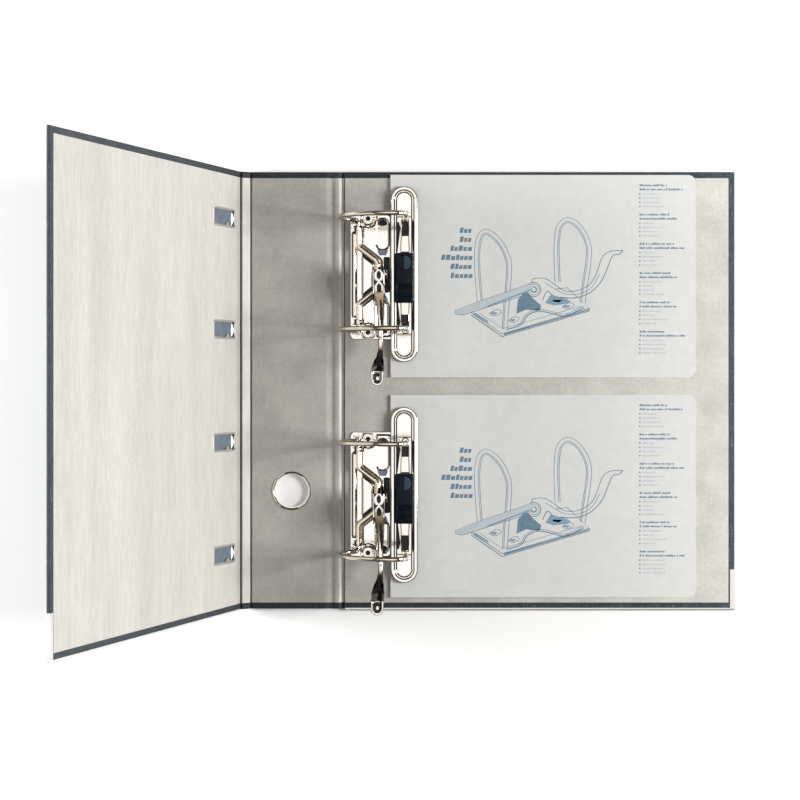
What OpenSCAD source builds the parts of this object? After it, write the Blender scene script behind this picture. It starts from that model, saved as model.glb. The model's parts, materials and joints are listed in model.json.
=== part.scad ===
// Lever arch file for two stacks of half-size sheets: a board case with four creases, and two
// identical lever arch mechanisms riveted to its back cover, one above the other.
//
// Frame: the back cover lies flat, its outer face on z = 0, with the origin at that face's centre.
// +X runs from the spine to the back cover's fore edge, +Y to the head of the file, +Z upwards.
// Each module below works in the hinge frame, whose x = 0 is the back cover's spine-side edge.

/* [Case] */
// Width of each cover, from its crease to its fore edge
cover_w = 284; // [270:1:300]
// Height of the case
cover_h = 318; // [312:1:330]
// Width of the spine panel
spine_w = 59.3; // [50:0.1:70]
// Width of the strip between the two creases on each side of the spine
crease_w = 9; // [7:0.5:12]
// Thickness of the board
board_t = 2; // [1.6:0.1:2.4]
// Thickness of the covering paper, and of the lining
skin_t = 0.3; // [0.2:0.05:0.4]
// Width of covering paper that is turned in around the lining
turn_in = 4.5; // [3:0.5:8]
// How far the front cover is folded up from the spine, in degrees
front_open = 71; // [0:1:90]
// Half of the clearance between two panels at a crease
crease_gap = 0.2; // [0.1:0.05:0.4]

/* [Case hardware] */
// How far the metal edge guard stands beyond the tail edge
guard_out = 1.4; // [1.2:0.1:2]
// Height of the edge guard along the fore edge
guard_fore_h = 28.6; // [15:0.1:40]
// Width of the edge guard's outer flange
guard_flange = 6; // [4:0.5:10]
// Width of the edge guard's inner flange on the fore edge
guard_inner = 3.4; // [2:0.1:6]
// Radius of the finger hole in the spine
finger_r = 12; // [10:0.5:14]
// Radius of the finger ring's flange
finger_flange_r = 14.35; // [13.5:0.05:17]
// Height of the finger hole's centre, from mid height
finger_y = -73.2; // [-90:0.1:-50]
// Distance of a catch slot from the front crease
slot_u = 9; // [8:0.5:12]
// Length of a catch slot's frame
slot_len = 39; // [36:0.5:42]
// Width of a catch slot's frame
slot_w = 14; // [12:0.5:16]
// Width of the metal frame around a catch slot
slot_rim = 1.8; // [1.2:0.1:2.2]
// Width of the spine label
label_w = 48; // [40:1:52]
// Length of the spine label
label_h = 190; // [150:1:190]

/* [Mechanisms] */
// Height of the upper mechanism's centre, from mid height
upper_y = 83.6; // [80:0.1:86]
// Height of the lower mechanism's centre, from mid height
lower_y = -76.8; // [-80:0.1:-74]
// Distance between the two arches
hole_pitch = 80; // [80:1:80]
// Diameter of the arch wire
wire_d = 3.5; // [3:0.1:3.8]
// Distance of the fixed posts from the back crease
post_x = 44.2; // [43:0.1:46]
// Diameter of a fixed post
post_d = 4.2; // [4:0.1:4.6]
// Distance of the arches' pivot line from the back crease
pivot_x = 10; // [9.5:0.1:11]
// Height of the arches' pivot line above the lining
pivot_z = 5; // [4.8:0.1:5.5]
// Height of the arch wire's centre line at its highest point
arch_z = 71.25; // [68:0.25:71.25]
// Furthest reach of the arch wire's centre line towards the spine
arch_x = -2.45; // [-3:0.05:0]
// Radius of the bend next to the post
tip_r = 9; // [8:0.5:12]
// Sideways offset of the crank from the pivot line
crank_r = 14; // [13:0.5:14.5]

/* [Base plate] */
// Distance of the base plate's near edge from the back crease
plate_x = 4.2; // [4:0.1:5]
// Width of the base plate
plate_w = 51.8; // [50:0.1:54]
// Length of the base plate
plate_len = 93.2; // [92:0.1:96]
// Sheet thickness of the base plate
plate_t = 0.8; // [0.7:0.1:1]
// Distance of the visible rivets from the back crease
rivet_x = 17; // [16:0.5:18]
// Distance of a rivet from the mechanism's centre, along the spine
rivet_y = 41.4; // [41:0.1:42]
// Distance of the covered rivets from the back crease
rivet_far_x = 50.5; // [50:0.5:51.5]

/* [Lever] */
// Height of the lever's pivot above the lining
lever_z = 22; // [22:0.1:23]
// Distance of the lever's centre plane from the back crease
lever_x = 25; // [25:0.1:25.2]
// Sheet thickness of the lever
lever_t = 0.8; // [0.7:0.1:0.9]
// Radius of the cam roller
roller_r = 3.5; // [3.4:0.1:3.5]

/* [Compressor] */
// Distance of the compressor bar's near edge from the back crease
bar_x = 34.1; // [33.8:0.1:34.6]
// Width of the compressor bar
bar_w = 19.6; // [19:0.1:20]
// Length of the compressor bar
bar_len = 127; // [120:1:130]
// Width of the moulded clip
clip_w = 12.3; // [11:0.1:13]
// Length of the moulded clip
clip_len = 36; // [32:1:40]

/* [Insert sheets] */
// Width of an insert sheet
sheet_w = 222.2; // [200:0.1:230]
// Height of an insert sheet
sheet_h = 147.4; // [146:0.1:149]
// Thickness of an insert sheet
sheet_t = 0.35; // [0.2:0.05:0.4]

/* [Hidden] */
$fn = 64;

cut = 1;                                  // how far a cutting solid passes a face
cover_t = board_t + 2 * skin_t;           // board, covering paper and lining together
half_h = cover_h / 2;
spine_x1 = -crease_w;                     // spine panel's edge at the back crease
spine_x0 = spine_x1 - spine_w;            // spine panel's edge at the front crease
front_x = spine_x0 - crease_w;            // front cover's hinge edge while it lies flat
fold = front_open / 2;                    // each front crease takes half of the fold
half_pitch = hole_pitch / 2;
wire_r = wire_d / 2;
slot_corner = 3;
slot_wall = 0.4;

// Arch outline in its own plane: a bend next to the post, a wide sweep over the top, and a leg
// that runs down to the pivot line, each an arc that meets the next without a corner
sweep_r = post_x - tip_r - arch_x;
sweep_z = arch_z - sweep_r;
leg_dx = pivot_x - arch_x;
leg_dz = sweep_z - pivot_z;
foot_bend = 4;                            // bend radius where the wire leaves the pivot line
leg_r = (leg_dx * leg_dx + leg_dz * leg_dz - foot_bend * foot_bend) / (2 * leg_dx);
leg_end = atan2(leg_dz, leg_r - leg_dx) - atan(foot_bend / leg_r);
tip_z = arch_z - tip_r;                   // the arch ends here, above its post
post_top = tip_z - 0.35;
post_bore_r = 1.5;
post_bore_h = 6;

// Crank in the middle of the bow
crank_y = 11;
crank_bend = 6;                           // bend radius at the crank's four corners
axle_y = crank_y + crank_r;               // where the crank's legs meet the pivot line

// Lever: the cam roller sits just above the crank while the arches are closed
roller_y = -10.5;
roller_z = pivot_z + wire_r + 0.3 + roller_r;
lever_half = 4.1;                         // half width of the lever at its pivot
cheek_r = 3.6;                            // lever's cheeks, around the pivot
cheek_end_r = 2.9;                        // lever's cheeks, around the roller's pin
ear_t = 0.8;
ear_r = 3.2;
inner_ear_x = lever_x + 1.15;
outer_ear_x = lever_x + lever_half + 0.4;
pivot_pin_r = 1.9;
pivot_bore_r = 1.1;
roller_pin_r = 1.1;
running = 0.05;                           // radial clearance of a running fit

// Base plate's stamped details
plate_corner = 3.3;
bead_x = 7.2;                             // stiffening bead along the spine-side edge
bead_r = 1.5;
ridge_h = 1.2;                            // ridge that ends the flat bed under the lever
trough_depth = 0.4;
loop_y = 34;                              // centre of a bearing loop
loop_w = 4;
loop_wall = 1;

// Stack over the base plate's far half
rivet_low_t = 0.5;                        // head thickness of the covered rivets
rivet_r = 2.4;
rivet_head_r = 3.9;
rivet_bore_r = 1.7;
rivet_head_t = 0.7;                       // head thickness of the visible rivets
boss_r = 6.4;                             // raised boss around a visible rivet
boss_h = 0.3;
post_foot_r = 1.4;
sheet_z = cover_t + plate_t + rivet_low_t + 0.1;
sheet_x = 33.4;
sheet_mid = 3.05;                         // mid height of the gap between the two sheets
sheet_gap = 12.7;
sheet_corner = 5.5;
punch_r = 3;
bar_z = sheet_z + sheet_t + 0.15;
bar_t = 0.8;
rim_h = 2.4;                              // height of the compressor bar's rims
clip_h = 3.6;

paper_colour = [0.16, 0.21, 0.25];
lining_colour = [0.86, 0.85, 0.82];
steel_colour = [0.8, 0.78, 0.75];
board_colour = [0.55, 0.54, 0.5];

// ---- Places ----

module at_hinge() {
    translate([-cover_w / 2, 0, 0]) children();
}

module fold_at(x, angle) {
    translate([x, 0, cover_t]) rotate([0, angle, 0]) translate([-x, 0, -cover_t]) children();
}

module at_front_crease() {
    at_hinge() fold_at(spine_x0, fold) children();
}

// Front cover, drawn from its crease towards its fore edge as the back cover is
module at_front() {
    at_front_crease() fold_at(front_x, fold) translate([front_x, 0, 0]) mirror([1, 0, 0]) children();
}

module at_mechanism(y) {
    at_hinge() translate([0, y, cover_t]) children();
}

// ---- Shapes used more than once ----

module slab(x0, x1, y0, y1, z0, z1) {
    translate([x0, y0, z0]) cube([x1 - x0, y1 - y0, z1 - z0]);
}

module rounded_rect(x0, x1, y0, y1, r) {
    union() {
        translate([x0 + r, y0]) square([x1 - x0 - 2 * r, y1 - y0]);
        translate([x0, y0 + r]) square([x1 - x0, y1 - y0 - 2 * r]);
        for (x = [x0 + r, x1 - r], y = [y0 + r, y1 - r]) translate([x, y]) circle(r);
    }
}

// Cylinder along Y from y0 to y1
module rod_y(x, z, r, y0, y1) {
    translate([x, y0, z]) rotate([-90, 0, 0]) cylinder(r = r, h = y1 - y0);
}

// Cylinder along X from x0 to x1
module rod_x(x0, x1, y, z, r) {
    translate([x0, y, z]) rotate([0, 90, 0]) cylinder(r = r, h = x1 - x0);
}

// Outline in Y and Z, drawn out along X from x0 to x1
module side_extrude(x0, x1) {
    translate([x0, 0, 0]) rotate([90, 0, 90]) linear_extrude(x1 - x0) children();
}

// Bent round bar: part of a ring around the Z axis
module ring_part(r, from, to) {
    rotate([0, 0, from]) rotate_extrude(angle = to - from) translate([r, 0]) circle(wire_r, $fn = 32);
}

// Board of one panel
module panel_board(x0, x1, fore) {
    edge = fore ? skin_t : crease_gap;
    slab(x0 + crease_gap, x1 - edge, -half_h + skin_t, half_h - skin_t, skin_t, skin_t + board_t);
}

// Lining of one panel, inside the turned-in paper
module panel_lining(x0, x1, fore) {
    edge = fore ? turn_in : crease_gap;
    slab(x0 + crease_gap, x1 - edge, -half_h + turn_in, half_h - turn_in, cover_t - skin_t, cover_t);
}

// Covering paper of one panel: outer face, edges and turn-ins
module panel_paper(x0, x1, fore) {
    edge = fore ? 0 : crease_gap;
    open_edge = fore ? skin_t : -cut;
    open_lining = fore ? turn_in : -cut;
    difference() {
        slab(x0 + crease_gap, x1 - edge, -half_h, half_h, 0, cover_t);
        slab(x0 - cut, x1 - open_edge, -half_h + skin_t, half_h - skin_t, skin_t, skin_t + board_t);
        slab(x0 - cut, x1 - open_lining, -half_h + turn_in, half_h - turn_in,
             cover_t - skin_t, cover_t + cut);
    }
}

// Space in a cover's outer face that the edge guard is pressed into
module guard_space() {
    slab(-cut, cover_w + cut, -half_h - cut, -half_h + guard_flange, -cut, skin_t);
    slab(cover_w - guard_flange, cover_w + cut, -half_h - cut, -half_h + guard_fore_h, -cut, skin_t);
}

// Edge guard, folded from one strip: a bead below the tail edge with an outer flange and a narrow
// lip, and a channel up the fore edge
module edge_guard() {
    wall = 0.3;
    bead_r = cover_t / 2;
    color(steel_colour) union() {
        side_extrude(0.5, cover_w + wall) union() {
            intersection() {
                translate([-half_h - guard_out + bead_r, bead_r]) circle(bead_r);
                translate([-half_h - 3, 0]) square([3 + bead_r - guard_out, cover_t]);
            }
            translate([-half_h - guard_out + bead_r, 0]) square([guard_out - bead_r, cover_t]);
            translate([-half_h - 0.1, cover_t - 0.1]) square([0.1, wall + 0.1]);
            translate([-half_h - 0.1, cover_t]) square([0.7, wall]);
            translate([-half_h - 0.1, 0]) square([guard_flange, skin_t]);
        }
        translate([0, -half_h + guard_fore_h, 0]) rotate([90, 0, 0]) linear_extrude(guard_fore_h + 0.1)
            polygon([
                [cover_w - guard_flange, 0], [cover_w + wall, 0], [cover_w + wall, cover_t + wall],
                [cover_w - guard_inner, cover_t + wall], [cover_w - guard_inner, cover_t],
                [cover_w, cover_t], [cover_w, skin_t], [cover_w - guard_flange, skin_t]]);
    }
}

// Every place where a rivet passes the back cover
module at_rivets() {
    for (y = [upper_y, lower_y], dy = [-rivet_y, rivet_y], x = [rivet_x, rivet_far_x]) {
        translate([x, y + dy, 0]) children();
    }
}

// ---- Back cover ----

module back_board() {
    color(board_colour) at_hinge() difference() {
        panel_board(0, cover_w, true);
        at_rivets() translate([0, 0, -cut]) cylinder(r = rivet_r, h = cover_t + 2 * cut);
    }
}

module back_paper() {
    color(paper_colour) at_hinge() difference() {
        panel_paper(0, cover_w, true);
        guard_space();
        at_rivets() translate([0, 0, -cut]) cylinder(r = rivet_head_r + 0.1, h = cover_t + 2 * cut);
    }
}

module back_lining() {
    color(lining_colour) at_hinge() difference() {
        panel_lining(0, cover_w, true);
        at_rivets() translate([0, 0, -cut]) cylinder(r = rivet_r, h = cover_t + 2 * cut);
    }
}

module back_edge_guard() {
    at_hinge() edge_guard();
}

// ---- Creases and spine ----

module back_crease_board() {
    color(board_colour) at_hinge() panel_board(spine_x1, 0, false);
}

module back_crease_paper() {
    color(paper_colour) at_hinge() panel_paper(spine_x1, 0, false);
}

module back_crease_lining() {
    color(lining_colour) at_hinge() panel_lining(spine_x1, 0, false);
}

module at_finger_hole() {
    translate([(spine_x0 + spine_x1) / 2, finger_y, 0]) children();
}

module spine_board() {
    color(board_colour) at_hinge() difference() {
        panel_board(spine_x0, spine_x1, false);
        at_finger_hole() translate([0, 0, -cut]) cylinder(r = finger_r + 0.6, h = cover_t + 2 * cut);
    }
}

module label_outline(height) {
    x = (spine_x0 + spine_x1) / 2;
    slab(x - label_w / 2, x + label_w / 2, half_h - 20 - label_h, half_h - 20, -height, skin_t / 2);
}

module spine_paper() {
    color(paper_colour) at_hinge() difference() {
        panel_paper(spine_x0, spine_x1, false);
        at_finger_hole() translate([0, 0, -cut]) cylinder(r = finger_flange_r, h = cover_t + 2 * cut);
        label_outline(cut);
    }
}

module spine_lining() {
    color(lining_colour) at_hinge() difference() {
        panel_lining(spine_x0, spine_x1, false);
        at_finger_hole() translate([0, 0, -cut]) cylinder(r = finger_r + 0.6, h = cover_t + 2 * cut);
    }
}

module spine_label() {
    color([0.93, 0.93, 0.9]) at_hinge() label_outline(0);
}

module finger_ring() {
    color(steel_colour) at_hinge() at_finger_hole() rotate_extrude() union() {
        translate([finger_r, skin_t]) square([0.6, cover_t - skin_t]);
        translate([finger_r, cover_t]) square([finger_flange_r - finger_r, 0.4]);
        translate([(finger_r + finger_flange_r) / 2, cover_t + 0.4]) intersection() {
            circle(r = (finger_flange_r - finger_r) / 2);
            translate([-5, 0]) square([10, 0.7]);
        }
    }
}

module finger_washer() {
    color(steel_colour) at_hinge() at_finger_hole() rotate_extrude()
        translate([finger_r, 0]) square([finger_flange_r - finger_r - 0.3, skin_t]);
}

module front_crease_board() {
    color(board_colour) at_front_crease() panel_board(front_x, spine_x0, false);
}

module front_crease_paper() {
    color(paper_colour) at_front_crease() panel_paper(front_x, spine_x0, false);
}

module front_crease_lining() {
    color(lining_colour) at_front_crease() panel_lining(front_x, spine_x0, false);
}

// ---- Front cover ----

module at_slots() {
    for (y = [upper_y, lower_y], dy = [-half_pitch, half_pitch]) translate([0, y + dy, 0]) children();
}

// Cut through the cover that follows a catch slot's outline, inset from it
module slot_cut(inset) {
    translate([0, 0, -cut]) linear_extrude(cover_t + 2 * cut)
        rounded_rect(slot_u + inset, slot_u + slot_len - inset,
                     -slot_w / 2 + inset, slot_w / 2 - inset, slot_corner);
}

module front_board() {
    color(board_colour) at_front() difference() {
        panel_board(0, cover_w, true);
        at_slots() slot_cut(slot_rim - slot_wall);
    }
}

module front_paper() {
    color(paper_colour) at_front() difference() {
        panel_paper(0, cover_w, true);
        guard_space();
        at_slots() slot_cut(0);
    }
}

module front_lining() {
    color(lining_colour) at_front() difference() {
        panel_lining(0, cover_w, true);
        at_slots() slot_cut(0);
    }
}

module front_edge_guard() {
    at_front() edge_guard();
}

// One pressed frame: a flange inside, a flange outside, and a wall through the board
module slot_frame() {
    far = slot_u + slot_len;
    inset = slot_rim - slot_wall;
    difference() {
        union() {
            translate([0, 0, cover_t - skin_t]) linear_extrude(skin_t + 0.3)
                rounded_rect(slot_u, far, -slot_w / 2, slot_w / 2, slot_corner);
            linear_extrude(skin_t) rounded_rect(slot_u, far, -slot_w / 2, slot_w / 2, slot_corner);
            linear_extrude(cover_t) rounded_rect(slot_u + inset, far - inset,
                -slot_w / 2 + inset, slot_w / 2 - inset, slot_corner);
        }
        slot_cut(slot_rim);
    }
}

module slot_frames() {
    color(steel_colour) at_front() at_slots() slot_frame();
}

// ---- Mechanism: fixed parts ----

// Loop that holds the bow's foot against the base plate
module bearing_loop() {
    half = loop_w / 2;
    difference() {
        union() {
            rod_y(pivot_x, pivot_z, wire_r + loop_wall, -half, half);
            slab(pivot_x - wire_r - loop_wall, pivot_x + wire_r + loop_wall, -half, half, 0, pivot_z);
        }
        rod_y(pivot_x, pivot_z, wire_r + running, -half - cut, half + cut);
    }
}

// Upright ear with a rounded top and a hole for the lever's pivot
module pivot_ear(x) {
    difference() {
        side_extrude(x, x + ear_t) union() {
            polygon([[-8, 0], [8, 0], [8, 2], [ear_r, lever_z], [-ear_r, lever_z], [-8, 2]]);
            translate([0, lever_z]) circle(ear_r);
        }
        rod_x(x - cut, x + ear_t + cut, 0, lever_z, pivot_pin_r);
    }
}

module base_plate(y) {
    x1 = plate_x + plate_w;
    half_len = plate_len / 2;
    color(steel_colour) at_mechanism(y) difference() {
        union() {
            linear_extrude(plate_t) rounded_rect(plate_x, x1, -half_len, half_len, plate_corner);
            rod_y(bead_x, plate_t - 0.2, bead_r, -30, 31);
            for (s = [-1, 1]) {
                translate([rivet_x, s * rivet_y, 0]) cylinder(r = boss_r, h = plate_t + boss_h);
                translate([0, s * loop_y, 0]) bearing_loop();
                side_extrude(22.6, 32.8) polygon([[s * 17, 0], [s * 19, 0],
                    [s * 18.4, plate_t + ridge_h], [s * 17.6, plate_t + ridge_h]]);
            }
            pivot_ear(inner_ear_x);
            pivot_ear(outer_ear_x);
        }
        slab(22.6, inner_ear_x - 0.6, -8.4, 8.4, -cut, plate_t + cut);
        slab(outer_ear_x + ear_t, 33, -16, 16, -cut, plate_t + cut);
        for (s = [-1, 1]) {
            translate([0, 0, plate_t - trough_depth]) linear_extrude(1)
                rounded_rect(25, 31, s > 0 ? 21 : -41.5, s > 0 ? 41.5 : -21, 2.9);
            for (x = [rivet_x, rivet_far_x])
                translate([x, s * rivet_y, -cut]) cylinder(r = rivet_r, h = 5);
            translate([post_x, s * half_pitch, -cut]) cylinder(r = post_foot_r, h = 5);
        }
        slab(-20, 80, -80, 80, -5, 0);
    }
}

module posts(y) {
    color(steel_colour) at_mechanism(y) for (s = [-1, 1]) translate([post_x, s * half_pitch, 0])
        difference() {
            union() {
                cylinder(r = post_foot_r, h = plate_t + 0.5);
                translate([0, 0, plate_t]) cylinder(r = post_d / 2, h = post_top - plate_t);
            }
            translate([0, 0, post_top - post_bore_h]) cylinder(r = post_bore_r, h = post_bore_h + cut);
        }
}

// Hollow rivets; the head on the covered side is flat
module mounting_rivets(y) {
    color(steel_colour) at_hinge() translate([0, y, 0]) for (s = [-1, 1], x = [rivet_x, rivet_far_x]) {
        seat = cover_t + plate_t + (x == rivet_x ? boss_h : 0);
        head = x == rivet_x ? rivet_head_t : rivet_low_t;
        translate([x, s * rivet_y, 0]) difference() {
            union() {
                cylinder(r = rivet_head_r, h = skin_t);
                cylinder(r = rivet_r, h = seat + head);
                translate([0, 0, seat]) cylinder(r1 = rivet_head_r, r2 = rivet_head_r - 0.6, h = head);
            }
            translate([0, 0, -cut]) cylinder(r = rivet_bore_r, h = 10);
        }
    }
}

// ---- Mechanism: bow ----

// One arch in its own plane, drawn in X and Z
module arch() {
    rotate([90, 0, 0]) {
        translate([post_x - tip_r, tip_z, 0]) ring_part(tip_r, 0, 90);
        translate([arch_x + sweep_r, sweep_z, 0]) ring_part(sweep_r, 90, 180);
        translate([arch_x + leg_r, sweep_z, 0]) ring_part(leg_r, 180, 180 + leg_end);
    }
    translate([post_x, 0, tip_z - 0.6]) cylinder(r1 = 0.8, r2 = 1.2, h = 0.7);
}

// Swelling, no thicker than a coat of plating, where one stretch of wire meets the next
module knuckle(x, y, z) {
    translate([x, y, z]) sphere(wire_r + 0.03, $fn = 48);
}

// Half of the bow: from the end of the crank's saddle out to an arch's tip
module bow_half() {
    reach = crank_bend * tan(22.5);
    slant = reach / sqrt(2);
    foot_y = half_pitch - foot_bend;
    leg_x = pivot_x - foot_bend * sin(leg_end);
    leg_z = pivot_z + foot_bend * cos(leg_end);
    translate([pivot_x + crank_r - crank_bend, crank_y - reach, pivot_z]) ring_part(crank_bend, 0, 45);
    translate([pivot_x + slant, axle_y - slant, pivot_z]) rotate([0, 90, -45])
        cylinder(r = wire_r, h = crank_r * sqrt(2) - 2 * reach);
    translate([pivot_x + crank_bend, axle_y + reach, pivot_z]) ring_part(crank_bend, 180, 225);
    rod_y(pivot_x, pivot_z, wire_r, axle_y + reach, foot_y);
    translate([leg_x, foot_y, leg_z]) rotate([0, 90 - leg_end, 0]) ring_part(foot_bend, 0, 90);
    translate([0, half_pitch, 0]) arch();
    knuckle(pivot_x + crank_r, crank_y - reach, pivot_z);
    knuckle(pivot_x + crank_r - slant, crank_y + slant, pivot_z);
    knuckle(pivot_x + slant, axle_y - slant, pivot_z);
    knuckle(pivot_x, axle_y + reach, pivot_z);
    knuckle(pivot_x, foot_y, pivot_z);
    knuckle(leg_x, half_pitch, leg_z);
}

module bow(y) {
    saddle_half = crank_y - crank_bend * tan(22.5);
    color(steel_colour) at_mechanism(y) union() {
        rod_y(pivot_x + crank_r, pivot_z, wire_r, -saddle_half, saddle_half);
        bow_half();
        mirror([0, 1, 0]) bow_half();
    }
}

// ---- Mechanism: lever ----

function bezier(a, b, c, d, t) =
    pow(1 - t, 3) * a + 3 * t * pow(1 - t, 2) * b + 3 * t * t * (1 - t) * c + t * t * t * d;

// The web's outer face from over the pivot to the thumb tip, in Y and Z
lever_knots = [
    [[1, 26.4], [-14, 27.4], [-24, 18.6], [-40, 17.6]],
    [[-40, 17.6], [-48, 17.1], [-54, 18.4], [-60, 22.4]],
    [[-60, 22.4], [-68, 28], [-73.5, 42], [-78, 60]]
];
lever_steps = 8;
lever_path = concat(
    [for (k = lever_knots, i = [0:lever_steps - 1]) bezier(k[0], k[1], k[2], k[3], i / lever_steps)],
    [lever_knots[2][3]]
);
lever_last = len(lever_path) - 1;

function lever_ahead(i) = lever_path[min(i + 1, lever_last)] - lever_path[max(i - 1, 0)];
// Point of the path moved square to it, away from the web's outer face
function lever_inside(i, depth) =
    lever_path[i] + depth * [lever_ahead(i)[1], -lever_ahead(i)[0]] * -1 / norm(lever_ahead(i));

module lever_profile(depth, tip_depth) {
    polygon(concat(lever_path, [for (i = [lever_last:-1:0])
        lever_inside(i, depth + (tip_depth - depth) * i / lever_last)]));
}

// Half widths of the lever seen from above: pivot, neck, flare and thumb tip
module lever_plan(inset) {
    stations = [[6, lever_half], [-16, lever_half], [-30, 3.6], [-50, 2.9], [-57, 4.4], [-63, 6.4],
                [-69, 6.4], [-75, 5.6], [-79, 4.6]];
    polygon(concat([for (s = stations) [lever_x - s[1] + inset, s[0]]],
                   [for (i = [len(stations) - 1:-1:0])
                       [lever_x + stations[i][1] - inset, stations[i][0]]]));
}

// Cheek around the pivot and the roller's pin
module lever_cheek() {
    a = atan2(roller_z - lever_z, roller_y);
    side = [cos(a + 90), sin(a + 90)];    // square to the line from the pivot to the roller
    translate([0, lever_z]) circle(cheek_r);
    translate([roller_y, roller_z]) circle(cheek_end_r);
    polygon([[0, lever_z] - cheek_r * side, [0, lever_z] + cheek_r * side,
             [roller_y, roller_z] + cheek_end_r * side, [roller_y, roller_z] - cheek_end_r * side]);
}

module lever(y) {
    color(steel_colour) at_mechanism(y) difference() {
        union() {
            intersection() {
                side_extrude(lever_x - 8, lever_x + 8) lever_profile(6, 2.4);
                translate([0, 0, -5]) linear_extrude(90) lever_plan(0);
            }
            side_extrude(lever_x - lever_half, lever_x + lever_half) union() {
                lever_cheek();
                polygon([[1, 26.4], [-3.4, 21], [roller_y - 2.6, roller_z + 1], [-19.5, 17.4],
                         [-14, 24.6], [-6, 26.2]]);
            }
        }
        intersection() {
            side_extrude(lever_x - 8, lever_x + 8) union() {
                polygon(concat(
                    [for (i = [0:lever_last]) lever_inside(i, lever_t)],
                    [for (i = [lever_last:-1:0]) lever_inside(i, 30)]));
                translate([0, lever_z - 30]) square([8, 60]);
                translate([-30, -12]) square([38, lever_z + 11]);
            }
            translate([0, 0, -5]) linear_extrude(90) lever_plan(lever_t);
        }
        rod_x(0, 60, 0, lever_z, pivot_pin_r + running);
        rod_x(0, 60, roller_y, roller_z, roller_pin_r);
    }
}

// Hollow rivet on which the lever turns, held by both ears
module lever_pivot(y) {
    x0 = lever_x - lever_half;
    x1 = outer_ear_x + ear_t;
    color(steel_colour) at_mechanism(y) difference() {
        union() {
            rod_x(x0 - 0.8, x1 + 0.7, 0, lever_z, pivot_pin_r);
            rod_x(x0 - 0.8, x0 - 0.2, 0, lever_z, 3.1);
            rod_x(x1, x1 + 0.7, 0, lever_z, 3.1);
        }
        rod_x(x0 - 5, x1 + 5, 0, lever_z, pivot_bore_r);
    }
}

module cam_roller(y) {
    color([0.75, 0.66, 0.42]) at_mechanism(y) difference() {
        rod_x(lever_x - lever_half + lever_t + 0.3, inner_ear_x - 0.35, roller_y, roller_z, roller_r);
        rod_x(0, 60, roller_y, roller_z, roller_pin_r + running);
    }
}

module roller_pin(y) {
    color(steel_colour) at_mechanism(y)
        rod_x(lever_x - lever_half, lever_x + lever_half, roller_y, roller_z, roller_pin_r);
}

// ---- Mechanism: compressor ----

module bar_outline(inset) {
    r = 5 - inset * 0.6;
    rounded_rect(bar_x + inset, bar_x + bar_w - inset, -bar_len / 2 + inset, bar_len / 2 - inset, r);
}

// Slot for one post, open towards the clip
module bar_slot(s) {
    hole_r = post_d / 2 + 0.45;
    translate([post_x, s * half_pitch]) circle(hole_r);
    translate([post_x - hole_r, s > 0 ? 28 : -half_pitch]) square([2 * hole_r, half_pitch - 28]);
}

module compressor_bar(y) {
    color(steel_colour) at_mechanism(y) translate([0, 0, bar_z - cover_t]) difference() {
        union() {
            linear_extrude(bar_t) bar_outline(0);
            linear_extrude(rim_h) difference() {
                bar_outline(1);
                bar_outline(2.6);
            }
        }
        for (s = [-1, 1]) translate([0, 0, -cut]) linear_extrude(5) bar_slot(s);
    }
}

module compressor_clip(y) {
    x0 = bar_x + (bar_w - clip_w) / 2;
    x1 = x0 + clip_w;
    rib_pitch = 2;
    groove = 0.8;
    disc_r = 5;
    disc_y = 10.5;
    color([0.05, 0.09, 0.13]) at_mechanism(y) translate([0, 0, bar_z - cover_t + bar_t]) difference() {
        linear_extrude(clip_h) rounded_rect(x0, x1, -clip_len / 2, clip_len / 2, 1.2);
        translate([x0 + clip_w / 2, disc_y, clip_h - 1]) cylinder(r = disc_r, h = 3);
        for (i = [0:5]) {
            y0 = -clip_len / 2 + 1.8 + i * rib_pitch;
            slab(x0 - cut, x1 + cut, y0, y0 + groove, clip_h - 0.6, clip_h + cut);
        }
    }
}

// ---- Insert sheets ----

module insert_sheet(y, side) {
    mid = sheet_mid + side * (sheet_gap + sheet_h) / 2;
    y0 = mid - sheet_h / 2;
    color([0.87, 0.87, 0.86]) at_hinge() translate([0, 0, sheet_z]) linear_extrude(sheet_t) difference() {
        union() {
            rounded_rect(sheet_x, sheet_x + sheet_w, y0, y0 + sheet_h, sheet_corner);
            translate([sheet_x, y0]) square([2 * sheet_corner, sheet_h]);
        }
        for (s = [-1, 1]) translate([post_x, y + s * half_pitch]) circle(punch_r);
    }
}

back_board();
back_paper();
back_lining();
back_edge_guard();
back_crease_board();
back_crease_paper();
back_crease_lining();
spine_board();
spine_paper();
spine_lining();
spine_label();
finger_ring();
finger_washer();
front_crease_board();
front_crease_paper();
front_crease_lining();
front_board();
front_paper();
front_lining();
front_edge_guard();
slot_frames();

base_plate(upper_y);  // upper_base_plate
posts(upper_y);  // upper_posts
mounting_rivets(upper_y);  // upper_mounting_rivets
bow(upper_y);  // upper_bow
lever(upper_y);  // upper_lever
lever_pivot(upper_y);  // upper_lever_pivot
cam_roller(upper_y);  // upper_cam_roller
roller_pin(upper_y);  // upper_roller_pin
compressor_bar(upper_y);  // upper_compressor_bar
compressor_clip(upper_y);  // upper_compressor_clip
insert_sheet(upper_y, 1);  // upper_insert_sheet

base_plate(lower_y);  // lower_base_plate
posts(lower_y);  // lower_posts
mounting_rivets(lower_y);  // lower_mounting_rivets
bow(lower_y);  // lower_bow
lever(lower_y);  // lower_lever
lever_pivot(lower_y);  // lower_lever_pivot
cam_roller(lower_y);  // lower_cam_roller
roller_pin(lower_y);  // lower_roller_pin
compressor_bar(lower_y);  // lower_compressor_bar
compressor_clip(lower_y);  // lower_compressor_clip
insert_sheet(lower_y, -1);  // lower_insert_sheet
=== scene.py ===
import json
import math
import random

import bmesh
import bpy
from mathutils import Matrix, Vector
from mathutils.geometry import delaunay_2d_cdt


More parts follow.
